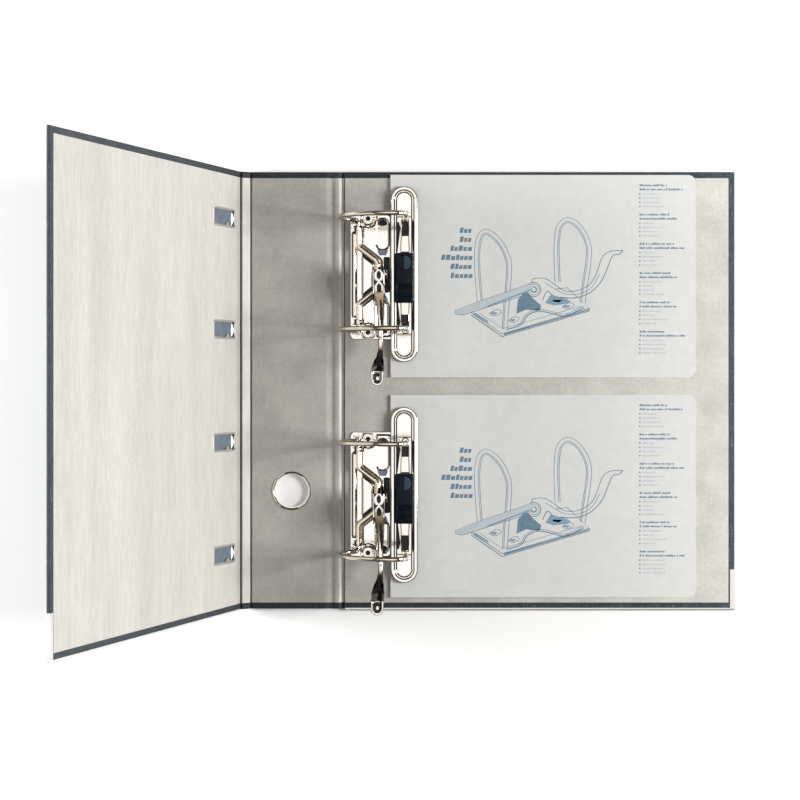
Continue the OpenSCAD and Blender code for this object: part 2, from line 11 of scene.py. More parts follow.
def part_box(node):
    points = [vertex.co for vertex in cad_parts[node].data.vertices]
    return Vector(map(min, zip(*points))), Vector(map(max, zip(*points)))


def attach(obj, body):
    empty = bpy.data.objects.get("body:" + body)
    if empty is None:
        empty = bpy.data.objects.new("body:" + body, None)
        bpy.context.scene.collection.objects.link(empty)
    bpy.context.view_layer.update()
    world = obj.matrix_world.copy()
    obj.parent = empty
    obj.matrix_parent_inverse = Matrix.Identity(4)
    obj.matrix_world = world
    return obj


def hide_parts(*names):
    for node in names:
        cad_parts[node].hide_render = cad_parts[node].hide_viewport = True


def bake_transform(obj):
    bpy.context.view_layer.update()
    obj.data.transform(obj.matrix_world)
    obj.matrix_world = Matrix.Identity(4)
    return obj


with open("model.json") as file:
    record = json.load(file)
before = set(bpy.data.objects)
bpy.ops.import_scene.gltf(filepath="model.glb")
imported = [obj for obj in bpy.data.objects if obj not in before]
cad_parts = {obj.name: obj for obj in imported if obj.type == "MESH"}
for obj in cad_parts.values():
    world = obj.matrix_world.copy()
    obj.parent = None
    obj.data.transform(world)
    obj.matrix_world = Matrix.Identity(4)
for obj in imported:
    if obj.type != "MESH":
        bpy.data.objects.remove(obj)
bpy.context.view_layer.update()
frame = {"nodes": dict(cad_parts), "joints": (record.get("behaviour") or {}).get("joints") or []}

# Looks of a lever arch file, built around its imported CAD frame. Shapes are drawn in millimetres in
# the hinge frame: x from the back crease towards the fore edge, y from mid height, and z from the
# case's outer face, or above the lining where a mechanism is drawn.

MM = 0.001
AXES = {j["name"]: Vector(j["pos_m"]) / MM for j in frame["joints"] if j["type"] == "hinge"}


def mm_box(node):
    """Corners of a CAD node's box in millimetres."""
    low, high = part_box(node)
    return low / MM, high / MM


# ---- Sizes read from the frame ----

HINGE_X = AXES["back_fold"].x
COVER_T = AXES["back_fold"].z
COVER_W = mm_box("back_paper")[1].x - HINGE_X
HALF_H = mm_box("back_paper")[1].y
CREASE_W = AXES["back_fold"].x - AXES["spine_fold"].x
SPINE_X1 = -CREASE_W
SPINE_X0 = AXES["front_fold"].x - HINGE_X
FRONT_X = SPINE_X0 - CREASE_W
FOLD = math.atan2(AXES["cover_fold"].z - COVER_T, AXES["front_fold"].x - AXES["cover_fold"].x)
TURN_IN = HALF_H - mm_box("back_lining")[1].y
FINGER_LOW, FINGER_HIGH = mm_box("finger_ring")
FINGER_Y = (FINGER_LOW.y + FINGER_HIGH.y) / 2
FINGER_X = (SPINE_X0 + SPINE_X1) / 2
MECHANISMS = {
    n: (mm_box(n + "_bow")[0].y + mm_box(n + "_bow")[1].y) / 2 for n in ("upper", "lower")
}

# ---- Sizes shared by several pieces ----

PAPER_LOW = 0.08          # outer face of the covering paper, so that labels and rivets stand proud
PAPER_HIGH = COVER_T - 0.1
SKIN_ROUND = 0.6          # rounding of the wrapped board's edges
SEAM = 6.0                # how far a crease's strip reaches into the panel beside it
BEND = 1.6                # half of the length over which a crease bends
PIVOT_X, PIVOT_Z = 10.0, 5.0
WIRE_R = 1.75
HOLE_Y = 40.0             # half of the distance between the two arches
POST_X = 44.2
LEVER_X, LEVER_Z = 25.0, 22.0
CARD_T = 0.35

FLAT = Matrix.Translation((HINGE_X * MM, 0, 0)) @ Matrix.Scale(MM, 4)


def mechanism_place(name):
    """Frame of one mechanism: x from the back crease, y from its middle and z from the lining."""
    return Matrix.Translation(Vector((HINGE_X, MECHANISMS[name], COVER_T)) * MM) @ Matrix.Scale(MM, 4)


def turned_about(x, angle):
    """Rotation about the line along Y through x, on the lining, as a matrix in millimetres."""
    pivot = Matrix.Translation((x, 0, COVER_T))
    return pivot @ Matrix.Rotation(angle, 4, "Y") @ pivot.inverted()


FRONT = FLAT @ turned_about(SPINE_X0, FOLD) @ turned_about(FRONT_X, FOLD)


def ease(t):
    t = min(max(t, 0.0), 1.0)
    return t * t * (3 - 2 * t)


# ---- Materials ----


class Tree:
    """A node tree, with short calls for the nodes that the finishes and the studio share."""

    def __init__(self, tree):
        self.tree = tree

    def add(self, kind):
        return self.tree.nodes.new("ShaderNode" + kind)

    def link(self, a, b):
        self.tree.links.new(a, b)
        return self

    def part_of(self, vector, axis):
        node = self.add("SeparateXYZ")
        self.link(vector, node.inputs[0])
        return node.outputs[axis]

    def ramp(self, factor, *stops):
        """Colour ramp; each stop is a place and a colour or a grey."""
        node = self.add("ValToRGB")
        points = node.color_ramp.elements
        while len(points) < len(stops):
            points.new(0.5)
        for point, (place, colour) in zip(points, stops):
            point.position = place
            grey = isinstance(colour, (int, float))
            point.color = (colour, colour, colour, 1) if grey else (*colour, 1)
        self.link(factor, node.inputs["Fac"])
        return node.outputs["Color"]

    def mix(self, factor, a, b, mode="MIX"):
        node = self.add("Mix")
        node.data_type = "RGBA"
        node.blend_type = mode
        for socket, value in ((node.inputs[0], factor), (node.inputs[6], a), (node.inputs[7], b)):
            if isinstance(value, bpy.types.NodeSocket):
                self.link(value, socket)
            elif isinstance(value, (int, float)):
                socket.default_value = value
            else:
                socket.default_value = (*value, 1)
        return node.outputs[2]


class Nodes(Tree):
    """A material's node tree, with short calls for its patterns and for the shader's sockets."""

    def __init__(self, name, roughness=0.5, metallic=0.0):
        self.material = bpy.data.materials.new(name)
        self.material.use_nodes = True
        super().__init__(self.material.node_tree)
        self.shader = self.tree.nodes["Principled BSDF"]
        self.shader.inputs["Roughness"].default_value = roughness
        self.shader.inputs["Metallic"].default_value = metallic
        self.where = self.add("TexCoord").outputs["Object"]

    def facing(self, axis):
        """How far the piece's own surface faces along an axis, from -1 to 1."""
        return self.part_of(self.where.node.outputs["Normal"], axis)

    def across(self, start, end):
        """How far a place lies from start to end of the opened case, from 0 to 1."""
        node = self.add("MapRange")
        node.inputs["From Min"].default_value = (HINGE_X + start) * MM
        node.inputs["From Max"].default_value = (HINGE_X + end) * MM
        self.link(self.part_of(self.where, "X"), node.inputs["Value"])
        return node.outputs["Result"]

    def noise(self, size, detail=3.0, stretch=(1, 1, 1), rough=0.55, shift=0.0):
        """Noise whose features are about size millimetres across."""
        node = self.add("TexNoise")
        node.inputs["Scale"].default_value = 1 / (size * MM)
        node.inputs["Detail"].default_value = detail
        node.inputs["Roughness"].default_value = rough
        mapping = self.add("Mapping")
        mapping.inputs["Scale"].default_value = stretch
        mapping.inputs["Location"].default_value = (shift, shift, shift)
        self.link(self.where, mapping.inputs["Vector"])
        self.link(mapping.outputs["Vector"], node.inputs["Vector"])
        return node.outputs["Fac"]

    def cells(self, size):
        node = self.add("TexVoronoi")
        node.inputs["Scale"].default_value = 1 / (size * MM)
        self.link(self.where, node.inputs["Vector"])
        return node.outputs["Distance"]

    def colour(self, socket):
        return self.link(socket, self.shader.inputs["Base Color"])

    def roughness(self, factor, low, high):
        node = self.add("MapRange")
        node.inputs["To Min"].default_value = low
        node.inputs["To Max"].default_value = high
        self.link(factor, node.inputs["Value"])
        return self.link(node.outputs["Result"], self.shader.inputs["Roughness"])

    def bump(self, height, distance, strength=1.0):
        """Bump from a height; distance is its depth in millimetres. Calls stack."""
        node = self.add("Bump")
        node.inputs["Distance"].default_value = distance * MM
        node.inputs["Strength"].default_value = strength
        self.link(height, node.inputs["Height"])
        normal = self.shader.inputs["Normal"]
        if normal.links:
            self.link(normal.links[0].from_socket, node.inputs["Normal"])
        return self.link(node.outputs["Normal"], normal)


def mottled(name, cloud, dark, light, grain, roughness, metallic=0.0):
    """Finish with a cloud of two tones, given by size and detail, and a grain that also has a depth."""
    m = Nodes(name, roughness, metallic)
    m.colour(m.ramp(m.noise(*cloud), (0.3, dark), (0.7, light)))
    size, detail, depth = grain
    m.bump(m.noise(size, detail), depth)
    return m


def covering_paper():
    """Dark blue-grey paper with pale flecks and an embossed grain."""
    m = Nodes("covering_paper", roughness=0.62)
    cloud = m.ramp(m.noise(9, 4), (0.3, (0.012, 0.022, 0.032)), (0.7, (0.026, 0.042, 0.055)))
    fleck = m.ramp(m.noise(0.9, 2, shift=3.1), (0.60, 0.0), (0.68, 1.0))
    fibre = m.ramp(m.noise(1.4, 3, stretch=(1, 0.3, 1), shift=7.7), (0.62, 0.0), (0.72, 0.7))
    flecked = m.mix(fibre, m.mix(fleck, cloud, (0.10, 0.15, 0.18)), (0.16, 0.21, 0.24))
    # Painted shade and light along the case: darker around the creases and the spine, lighter towards the
    # back cover's fore edge.
    painted_shading = m.ramp(m.across(-170, 284), (0.0, 0.85), (0.22, 0.32), (0.38, 0.40), (1.0, 1.1))
    m.colour(m.mix(1.0, flecked, painted_shading, "MULTIPLY"))
    m.bump(m.noise(0.7, 2), 0.05).bump(m.cells(1.1), 0.06, 0.6)
    return m.material


def lining_paper(name, dark, light, fibre_colour, fibre_share, stretch, spine_shade=1.0):
    """Unbleached lining paper: cloudy, with short fibres; its last argument is a painted shade that darkens
    it towards the spine.
    """
    m = Nodes(name, roughness=0.82)
    cloud = m.ramp(m.noise(26, 4, stretch=stretch), (0.3, dark), (0.7, light))
    fine = m.ramp(m.noise(2.6, 5, stretch=stretch, rough=0.7), (0.25, 0.80), (0.75, 1.0))
    base = m.mix(1.0, cloud, fine, "MULTIPLY")
    fibre = m.ramp(m.noise(1.0, 3, stretch=(1, 0.22, 1), shift=4.2), (0.60, 0.0), (0.72, fibre_share))
    # Painted shade: the lining grows darker towards the spine.
    painted_shading = m.ramp(m.across(-30, 250), (0.0, (spine_shade, spine_shade, spine_shade * 0.985)), (1.0, 1.0))
    m.colour(m.mix(1.0, m.mix(fibre, base, fibre_colour), painted_shading, "MULTIPLY"))
    m.bump(m.noise(0.8, 4), 0.03).bump(m.noise(5, 3, shift=1.3), 0.08)
    return m.material


def card_stock():
    """Smooth printing card, faintly mottled."""
    return mottled("card_stock", (7, 5), (0.625, 0.63, 0.62), (0.665, 0.67, 0.655),
                   (0.6, 3, 0.012), 0.55).material


def print_ink(name, colour):
    """Ink on the card, a little uneven where the paper takes less of it."""
    m = Nodes(name, roughness=0.6)
    pale = tuple(c * 0.75 + 0.17 for c in colour)
    m.colour(m.ramp(m.noise(0.9, 3), (0.45, colour), (0.8, pale)))
    return m.material


def plated_steel(name, tint, low, high, grain):
    """Plated sheet or wire; grain stretches the polishing marks along one axis."""
    m = Nodes(name, roughness=low, metallic=1.0)
    warm = tuple(c * f for c, f in zip(tint, (0.97, 0.93, 0.87)))
    m.colour(m.ramp(m.noise(14, 3), (0.35, tint), (0.75, warm)))
    m.roughness(m.noise(2.2, 4, stretch=grain), low, high)
    m.bump(m.noise(0.8, 3, stretch=grain), 0.006, 0.5).bump(m.noise(9, 2), 0.05, 0.35)
    return m.material


def bent_wire_steel():
    """Polished plated wire, warm, with painted dark reflections along its flanks."""
    m = Nodes("nickel_wire", roughness=0.06, metallic=1.0)
    base = m.ramp(m.noise(14, 3), (0.35, (0.90, 0.83, 0.72)), (0.75, (0.84, 0.74, 0.61)))
    size = m.add("Math")
    size.operation = "ABSOLUTE"
    m.link(m.facing("Y"), size.inputs[0])
    # Painted dark reflections: the wire's colour darkens where its surface faces sideways.
    painted_flank_shade = m.ramp(size.outputs["Value"], (0.42, 1.0), (0.62, 0.30), (0.92, 0.16))
    m.colour(m.mix(1.0, base, painted_flank_shade, "MULTIPLY"))
    m.roughness(m.noise(2.5, 4), 0.04, 0.11)
    m.bump(m.noise(1.2, 3), 0.004, 0.5)
    return m.material


def stamped_steel():
    """Stamped plated sheet, with painted shade and dark reflections on the steep walls of its relief."""
    m = Nodes("stamped_nickel", roughness=0.08, metallic=1.0)
    tint = (0.93, 0.92, 0.90)
    warm = tuple(c * f for c, f in zip(tint, (0.98, 0.94, 0.88)))
    flat = m.ramp(m.noise(12, 3), (0.35, tint), (0.75, warm))
    # Painted shade: the plating's colour darkens where the surface is steep.
    painted_wall_shade = m.ramp(m.facing("Z"), (0.70, (0.035, 0.03, 0.028)), (0.85, (0.24, 0.20, 0.16)),
                  (0.955, 1.0))
    m.colour(m.mix(1.0, flat, painted_wall_shade, "MULTIPLY"))
    m.roughness(m.noise(2.2, 4, stretch=(1, 0.2, 1)), 0.05, 0.14)
    m.bump(m.noise(0.8, 3, stretch=(1, 0.15, 1)), 0.004, 0.5).bump(m.noise(9, 2), 0.03, 0.3)
    return m.material


def blue_grey_steel():
    """Blue-grey steel: in the catch slots it paints the shade seen through the holes; it also covers the
    ramps on the base plates.
    """
    m = mottled("slot_steel", (5, 4), (0.125, 0.165, 0.21), (0.20, 0.245, 0.30), (0.8, 3, 0.01),
                0.5, 0.35)
    m.roughness(m.noise(2, 3, stretch=(1, 0.2, 1)), 0.4, 0.6)
    return m.material


def painted_shade_steel():
    """Near-black steel that paints shade and dark reflections: sheets under the openings of the stamped
    plates, corners of the catch slots, and marks on the lever.
    """
    return mottled("painted_shade_steel", (4, 3), (0.010, 0.011, 0.013), (0.028, 0.030, 0.034),
                   (0.7, 3, 0.02), 0.45, 0.6).material


def moulded_plastic(name, dark, light, depth, roughness):
    """Moulded plastic with a fine spark-eroded skin."""
    m = mottled(name, (3, 3), dark, light, (0.35, 2, depth), roughness)
    m.shader.inputs["Specular IOR Level"].default_value = 0.14
    return m


def clip_plastic():
    """Navy plastic of the compressor's clip, worn smoother in places."""
    m = moulded_plastic("clip_plastic", (0.002, 0.005, 0.009), (0.005, 0.010, 0.016), 0.02, 0.38)
    m.roughness(m.noise(0.5, 3), 0.3, 0.5)
    return m.material


def clip_highlight_plastic():
    """Lighter blue plastic of the half disc on the clip: a painted highlight on the navy clip."""
    return moulded_plastic("clip_disc", (0.022, 0.045, 0.07), (0.035, 0.065, 0.095), 0.01, 0.3).material


def label_paper():
    """Blank white label of the spine."""
    return mottled("label_paper", (6, 4), (0.74, 0.73, 0.69), (0.82, 0.81, 0.78), (0.6, 3, 0.02),
                   0.7).material


def floor_paint():
    """Pale, nearly even floor."""
    m = Nodes("floor_paint", roughness=0.75)
    m.colour(m.ramp(m.noise(160, 2), (0.3, 0.93), (0.7, 0.95)))
    return m.material


ALL_WAYS, ALONG_X, ALONG_Y = (1, 1, 1), (0.1, 1, 1), (1, 0.12, 1)
M = {
    "cover": covering_paper(),
    "lining": lining_paper("inside_lining", (0.56, 0.55, 0.505), (0.71, 0.695, 0.645),
                           (0.74, 0.73, 0.69), 0.5, ALL_WAYS, 0.72),
    # The front cover's lining is a darker copy of the same paper: painted shade against the stronger light
    # on the steep cover.
    "front_lining": lining_paper("front_inside_lining", (0.52, 0.51, 0.48), (0.61, 0.595, 0.565),
                                 (0.82, 0.81, 0.79), 0.35, ALONG_Y),
    # A paler copy of the lining for the crease slopes that face the light: painted light.
    "crease_lining": lining_paper("crease_lining", (0.66, 0.645, 0.61), (0.74, 0.725, 0.69),
                                  (0.80, 0.79, 0.77), 0.3, ALONG_Y),
    # Near-black lining in the bottoms of the score lines: painted shade.
    "crease_shade": lining_paper("crease_shade_lining", (0.05, 0.048, 0.042), (0.11, 0.105, 0.095),
                          (0.14, 0.135, 0.12), 0.3, ALONG_Y),
    "card": card_stock(),
    "ink": print_ink("print_ink", (0.10, 0.19, 0.27)),
    "ink_light": print_ink("print_ink_light", (0.19, 0.30, 0.39)),
    "ink_pale": print_ink("print_ink_pale", (0.46, 0.52, 0.55)),
    "nickel": plated_steel("nickel_steel", (0.90, 0.885, 0.86), 0.06, 0.14, (1, 0.15, 1)),
    "stamped": stamped_steel(),
    "dark": painted_shade_steel(),
    "wire": bent_wire_steel(),
    "post": plated_steel("nickel_post", (0.92, 0.89, 0.84), 0.05, 0.12, ALL_WAYS),
    "guard": plated_steel("guard_steel", (0.80, 0.81, 0.82), 0.25, 0.40, ALONG_X),
    "slot_steel": blue_grey_steel(),
    "rim": plated_steel("slot_rim", (0.80, 0.80, 0.79), 0.35, 0.5, (1, 0.2, 1)),
    "brass": plated_steel("roller_brass", (0.80, 0.62, 0.30), 0.15, 0.30, ALL_WAYS),
    "clip": clip_plastic(),
    "disc": clip_highlight_plastic(),
    "label": label_paper(),
    "floor": floor_paint(),
}

# ---- Mesh helpers ----


def finish_piece(name, bm, body, materials, place=FLAT, replaces=(), sharp=32):
    """Turns a bmesh drawn in millimetres into a piece that rides on a body, or on none when no body is
    given. materials are keys of M, and edges steeper than sharp degrees stay sharp."""
    bmesh.ops.remove_doubles(bm, verts=bm.verts, dist=0.0005)
    bmesh.ops.recalc_face_normals(bm, faces=bm.faces)
    mesh = bpy.data.meshes.new(name)
    bm.to_mesh(mesh)
    bm.free()
    mesh.transform(place)
    for material in materials:
        mesh.materials.append(M[material])
    mesh.shade_smooth()
    mesh.set_sharp_from_angle(angle=math.radians(sharp))
    piece = bpy.data.objects.new(name, mesh)
    bpy.context.scene.collection.objects.link(piece)
    if body:
        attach(piece, body)
    if replaces:
        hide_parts(*replaces)
    return piece


def mechanism_piece(name, part, bm, body, materials, node, lift=0.0):
    """Piece of one mechanism, drawn lift above the lining; node is the CAD node that it replaces."""
    place = mechanism_place(name) @ Matrix.Translation((0, 0, lift))
    replaced = [f"{name}_{node}"] if node else []
    finish_piece(f"{name}_{part}", bm, body, materials, place, replaced)


def join_rings(bm, rings):
    """Joins each ring of vertices to the next one with quads."""
    for a, b in zip(rings, rings[1:]):
        for i in range(len(a)):
            j = (i + 1) % len(a)
            bm.faces.new((a[i], a[j], b[j], b[i]))


def skin_rows(bm, rows):
    """Joins rows of points, each row one ring, and closes both ends."""
    made = [[bm.verts.new(p) for p in row] for row in rows]
    join_rings(bm, made)
    bm.faces.new(made[0])
    bm.faces.new(list(reversed(made[-1])))


def circle(r, steps, x=0.0, y=0.0):
    return [(x + r * math.cos(i * math.tau / steps), y + r * math.sin(i * math.tau / steps))
            for i in range(steps)]


def sweep(bm, path, ring, side=None):
    """Sweeps a ring of (across, up) points along a path. side is a fixed across direction for a flat
    path; without it the ring is carried along with no twist. ring may also be one ring per point."""
    points = [Vector(p) for p in path]
    rows = []
    normal = None
    for i, p in enumerate(points):
        tangent = (points[min(i + 1, len(points) - 1)] - points[max(i - 1, 0)]).normalized()
        if side is not None:
            across = Vector(side)
            up = tangent.cross(across).normalized()
        else:
            if normal is None:
                helper = Vector((0, 0, 1)) if abs(tangent.z) < 0.9 else Vector((1, 0, 0))
                normal = tangent.cross(helper).normalized()
            normal = (normal - tangent * normal.dot(tangent)).normalized()
            across, up = normal, tangent.cross(normal)
        outline = ring[i] if isinstance(ring[0], list) else ring
        rows.append([p + across * a + up * b for a, b in outline])
    skin_rows(bm, rows)


def lathe(bm, profile, matrix, steps):
    """Turns a closed profile of (radius, height) points about Z."""
    rows = []
    for k in range(steps):
        turn = matrix @ Matrix.Rotation(k * math.tau / steps, 4, "Z")
        rows.append([bm.verts.new(turn @ Vector((r, 0, z))) for r, z in profile])
    for a, b in zip(rows, rows[1:] + rows[:1]):
        for i, (r, _) in enumerate(profile):
            j = (i + 1) % len(profile)
            on_axis, next_on_axis = r < 1e-6, profile[j][0] < 1e-6
            if on_axis and next_on_axis:
                continue
            if on_axis:
                bm.faces.new((a[i], a[j], b[j]))
            elif next_on_axis:
                bm.faces.new((a[i], a[j], b[i]))
            else:
                bm.faces.new((a[i], a[j], b[j], b[i]))


def arc(centre, r, start, end, steps):
    """Points of an arc in degrees, both ends included."""
    return [(centre[0] + r * math.cos(math.radians(start + (end - start) * i / steps)),
             centre[1] + r * math.sin(math.radians(start + (end - start) * i / steps)))
            for i in range(steps + 1)]


def rounded_loop(x0, x1, y0, y1, r, inset=0.0, steps=8):
    """Outline of a rounded rectangle, moved inwards by inset."""
    x0, x1, y0, y1 = x0 + inset, x1 - inset, y0 + inset, y1 - inset
    r = max(r - inset, 0.02)
    return (arc((x1 - r, y0 + r), r, -90, 0, steps) + arc((x1 - r, y1 - r), r, 0, 90, steps)
            + arc((x0 + r, y1 - r), r, 90, 180, steps) + arc((x0 + r, y0 + r), r, 180, 270, steps))


def box_distance(x, y, x0, x1, y0, y1, r):
    """Signed distance to a rounded rectangle, negative inside it."""
    qx = abs(x - (x0 + x1) / 2) - (x1 - x0) / 2 + r
    qy = abs(y - (y0 + y1) / 2) - (y1 - y0) / 2 + r
    return math.hypot(max(qx, 0), max(qy, 0)) + min(max(qx, qy), 0) - r


def line_distance(x, y, points):
    """Distance to a chain of straight lines."""
    best = 1e9
    for (ax, ay), (bx, by) in zip(points, points[1:]):
        dx, dy = bx - ax, by - ay
        t = min(max(((x - ax) * dx + (y - ay) * dy) / (dx * dx + dy * dy), 0), 1)
        best = min(best, math.hypot(x - ax - t * dx, y - ay - t * dy))
    return best


def round_off(d, r):
    """Drop of a surface at distance d inside an edge that is rounded with radius r."""
    return 0.0 if d >= r else r - math.sqrt(max(r * r - (r - d) ** 2, 0))


def inside(x, y, loop):
    """Whether a place lies inside a loop: a line from it crosses the loop an odd number of times."""
    odd = False
    for (ax, ay), (bx, by) in zip(loop, loop[1:] + loop[:1]):
        if (ay > y) != (by > y) and x < (bx - ax) * (y - ay) / (by - ay) + ax:
            odd = not odd
    return odd


def sheet(bm, outline, height, pitch, thickness, holes=(), lines=(), material=0):
    """Sheet with a relief: outline and holes are loops, lines are loops that the mesh follows, height
    gives the upper face, and points pitch apart fill the rest."""
    points, edges = [], []
    for loop in [outline, *holes, *lines]:
        first = len(points)
        points += [Vector(p) for p in loop]
        edges += [(first + i, first + (i + 1) % len(loop)) for i in range(len(loop))]
    xs, ys = [p[0] for p in outline], [p[1] for p in outline]
    wide, tall = max(xs) - min(xs), max(ys) - min(ys)
    nx, ny = max(2, round(wide / pitch)), max(2, round(tall / pitch))

    def on_sheet(x, y):
        return inside(x, y, outline) and not any(inside(x, y, hole) for hole in holes)

    for i in range(1, nx):
        for j in range(1, ny):
            x = min(xs) + wide * (i + 0.25 * (j % 2)) / nx
            y = min(ys) + tall * j / ny
            if on_sheet(x, y):
                points.append(Vector((x, y)))
    found, _, triangles, *_ = delaunay_2d_cdt(points, edges, [], 0, 1e-4)
    kept = [t for t in triangles if on_sheet(*(sum(found[k][axis] for k in t) / 3 for axis in (0, 1)))]
    used = sorted({k for t in kept for k in t})
    top = {k: bm.verts.new((*found[k], height(*found[k]))) for k in used}
    low = {k: bm.verts.new(top[k].co - Vector((0, 0, thickness))) for k in used}
    border = set()
    for t in kept:
        bm.faces.new([top[k] for k in t]).material_index = material
        bm.faces.new([low[k] for k in reversed(t)]).material_index = material
        for a, b in zip(t, [*t[1:], t[0]]):
            if (b, a) in border:
                border.remove((b, a))
            else:
                border.add((a, b))
    for a, b in sorted(border):
        bm.faces.new((top[b], top[a], low[a], low[b])).material_index = material


def drum(bm, x0, x1, y, z, r, bore=0.0, edge=0.25):
    """Round body along X with rounded rims, and a bore if asked."""
    place = Matrix.Translation((x0, y, z)) @ Matrix.Rotation(math.radians(90), 4, "Y")
    length = x1 - x0
    profile = [(r - edge, 0), (r - edge * 0.3, edge * 0.3), (r, edge), (r, length - edge),
               (r - edge * 0.3, length - edge * 0.3), (r - edge, length), (bore, length), (bore, 0)]
    lathe(bm, profile, place, 32)


# ---- Case ----


# Score lines beside the creases: place, depth, and the width of the slope on either side
SCORES = [
    (-0.9, 1.7, 3.4, 0.8),
    (SPINE_X1 - 0.4, 1.0, 4.6, 3.2),
    (SPINE_X0 + 0.1, 0.9, 0.9, 0.9),
    (FRONT_X + 0.9, 1.5, 1.3, 1.3),
]
LINING_T = 0.3
# Linings of the creases: plain, painted shade in the score lines, and painted light on the slopes that face
# the light.
PLAIN, SCORE_SHADE, LIT_SLOPE = 0, 1, 2


def score_depth(x):
    """How far the lining lies below the panels beside the creases."""
    total = 0.0
    for centre, depth, left, right in SCORES:
        width = left if x < centre else right
        total += depth * ease(1 - abs(x - centre) / width)
    return total


def case_rows(xs, half, low, high, rounded, fore=None):
    """Pairs of an upper and a lower point over one stretch of the case at places xs."""
    ends = [0.0, 0.08, 0.3, 0.6] if rounded else [0.0]
    ys = [-half + d for d in ends] + [half - d for d in reversed(ends)]
    grid = []
    for x in xs:
        line = []
        for y in ys:
            d = half - abs(y)
            if fore is not None:
                d = min(d, abs(fore - x))
            drop = round_off(d, SKIN_ROUND) if rounded else 0.0
            dip = score_depth(x)
            base = low + drop - (0 if rounded else dip)
            line.append((Vector((x, y, high - drop - dip)), Vector((x, y, base))))
        grid.append(line)
    return grid


def crease_tone(x):
    """Which lining covers a place in a crease: a paler one that paints light on the slopes that face the
    light, a near-black one that paints shade in the score lines, or the plain one.
    """
    if -4.1 < x < -0.7 or FRONT_X + 1.7 < x < SPINE_X0 - 0.4:
        return LIT_SLOPE
    if abs(x + 0.2) < 0.35 or abs(x - SPINE_X0 - 0.1) < 0.45 or abs(x - FRONT_X - 0.9) < 0.75:
        return SCORE_SHADE
    return PLAIN


def case_stretch(grid, tones=None):
    """Closed mesh of a grid of (upper, lower) point pairs; tones shade the strips between rows."""
    bm = bmesh.new()
    upper = [[bm.verts.new(a) for a, _ in line] for line in grid]
    lower = [[bm.verts.new(b) for _, b in line] for line in grid]
    nx, ny = len(grid), len(grid[0])
    for i in range(nx - 1):
        for j in range(ny - 1):
            face = bm.faces.new((upper[i][j], upper[i + 1][j], upper[i + 1][j + 1], upper[i][j + 1]))
            face.material_index = tones[i] if tones else 0
            bm.faces.new((lower[i][j], lower[i][j + 1], lower[i + 1][j + 1], lower[i + 1][j]))
    rim = ([(i, 0) for i in range(nx)] + [(nx - 1, j) for j in range(1, ny)]
           + [(i, ny - 1) for i in range(nx - 2, -1, -1)] + [(0, j) for j in range(ny - 2, 0, -1)])
    for (i, j), (k, n) in zip(rim, rim[1:] + rim[:1]):
        bm.faces.new((upper[i][j], upper[k][n], lower[k][n], lower[i][j]))
    return bm


def cut(piece, cutters):
    """Cuts closed meshes out of a piece."""
    for cutter in cutters:
        boolean = piece.modifiers.new("cut", "BOOLEAN")
        boolean.operation = "DIFFERENCE"
        boolean.object = cutter
    mesh = bpy.data.meshes.new_from_object(piece.evaluated_get(bpy.context.evaluated_depsgraph_get()))
    piece.modifiers.clear()
    piece.data = mesh
    mesh.set_sharp_from_angle(angle=math.radians(32))
    for cutter in cutters:
        bpy.data.objects.remove(cutter)


def cutter_of(loop, place):
    """Closed prism through the case, for a boolean cut."""
    bm = bmesh.new()
    skin_rows(bm, [[(x, y, z) for x, y in loop] for z in (-2, COVER_T + 2)])
    return finish_piece("cutter", bm, None, [], place)


def finger_loop(r):
    return circle(r, 64, FINGER_X, FINGER_Y)


def slot_centres():
    return [y + s * HOLE_Y for y in MECHANISMS.values() for s in (1, -1)]


SLOT_X1 = FRONT_X - 9.0
SLOT_X0 = SLOT_X1 - 39.0
SLOT_HALF, SLOT_CORNER, SLOT_LIP = 7.0, 3.0, 1.5


def slot_loop(y, inset):
    return rounded_loop(SLOT_X0, SLOT_X1, y - SLOT_HALF, y + SLOT_HALF, SLOT_CORNER, inset)


def panel_xs(start, end, fore):
    """Places across a panel, close together at a rounded fore edge."""
    step = 1 if end > start else -1
    near = [end - step * d for d in (0.6, 0.3, 0.08, 0.0)] if fore else [end]
    count = max(2, round(abs(end - start) / 40))
    return [start + (end - start) * i / count for i in range(count)] + near


def case_panels():
    """The skins that stay flat: covering paper and lining of both covers and the spine."""
    panels = [
        ("back", "back_cover", SEAM, COVER_W, True, FLAT, "lining", "inside_lining"),
        ("spine", "spine", SPINE_X1 - SEAM, SPINE_X0 + SEAM, False, FLAT, "lining", "inside_lining"),
        ("front", "front_cover", FRONT_X - SEAM, FRONT_X - COVER_W, True, FRONT, "front_lining",
         "front_inside_lining"),
    ]
    for name, body, start, end, fore, place, lining, lining_slot in panels:
        grid = case_rows(panel_xs(start, end, fore), HALF_H, PAPER_LOW, PAPER_HIGH, True,
                         end if fore else None)
        paper = finish_piece(name + "_cover_sheet", case_stretch(grid), body, ["cover"], place,
                             [name + "_paper", name + "_board"])
        if fore:
            end += TURN_IN if end < start else -TURN_IN
        grid = case_rows(panel_xs(start, end, False), HALF_H - TURN_IN, COVER_T - LINING_T, COVER_T,
                         False)
        inside_sheet = finish_piece(name + "_lining_sheet", case_stretch(grid), body, [lining], place,
                                    [name + "_lining"])
        for piece in (paper, inside_sheet):
            if name == "spine":
                cut(piece, [cutter_of(finger_loop(12.7), FLAT)])
            if name == "front":
                cut(piece, [cutter_of(slot_loop(y, 1.3), FRONT) for y in slot_centres()])


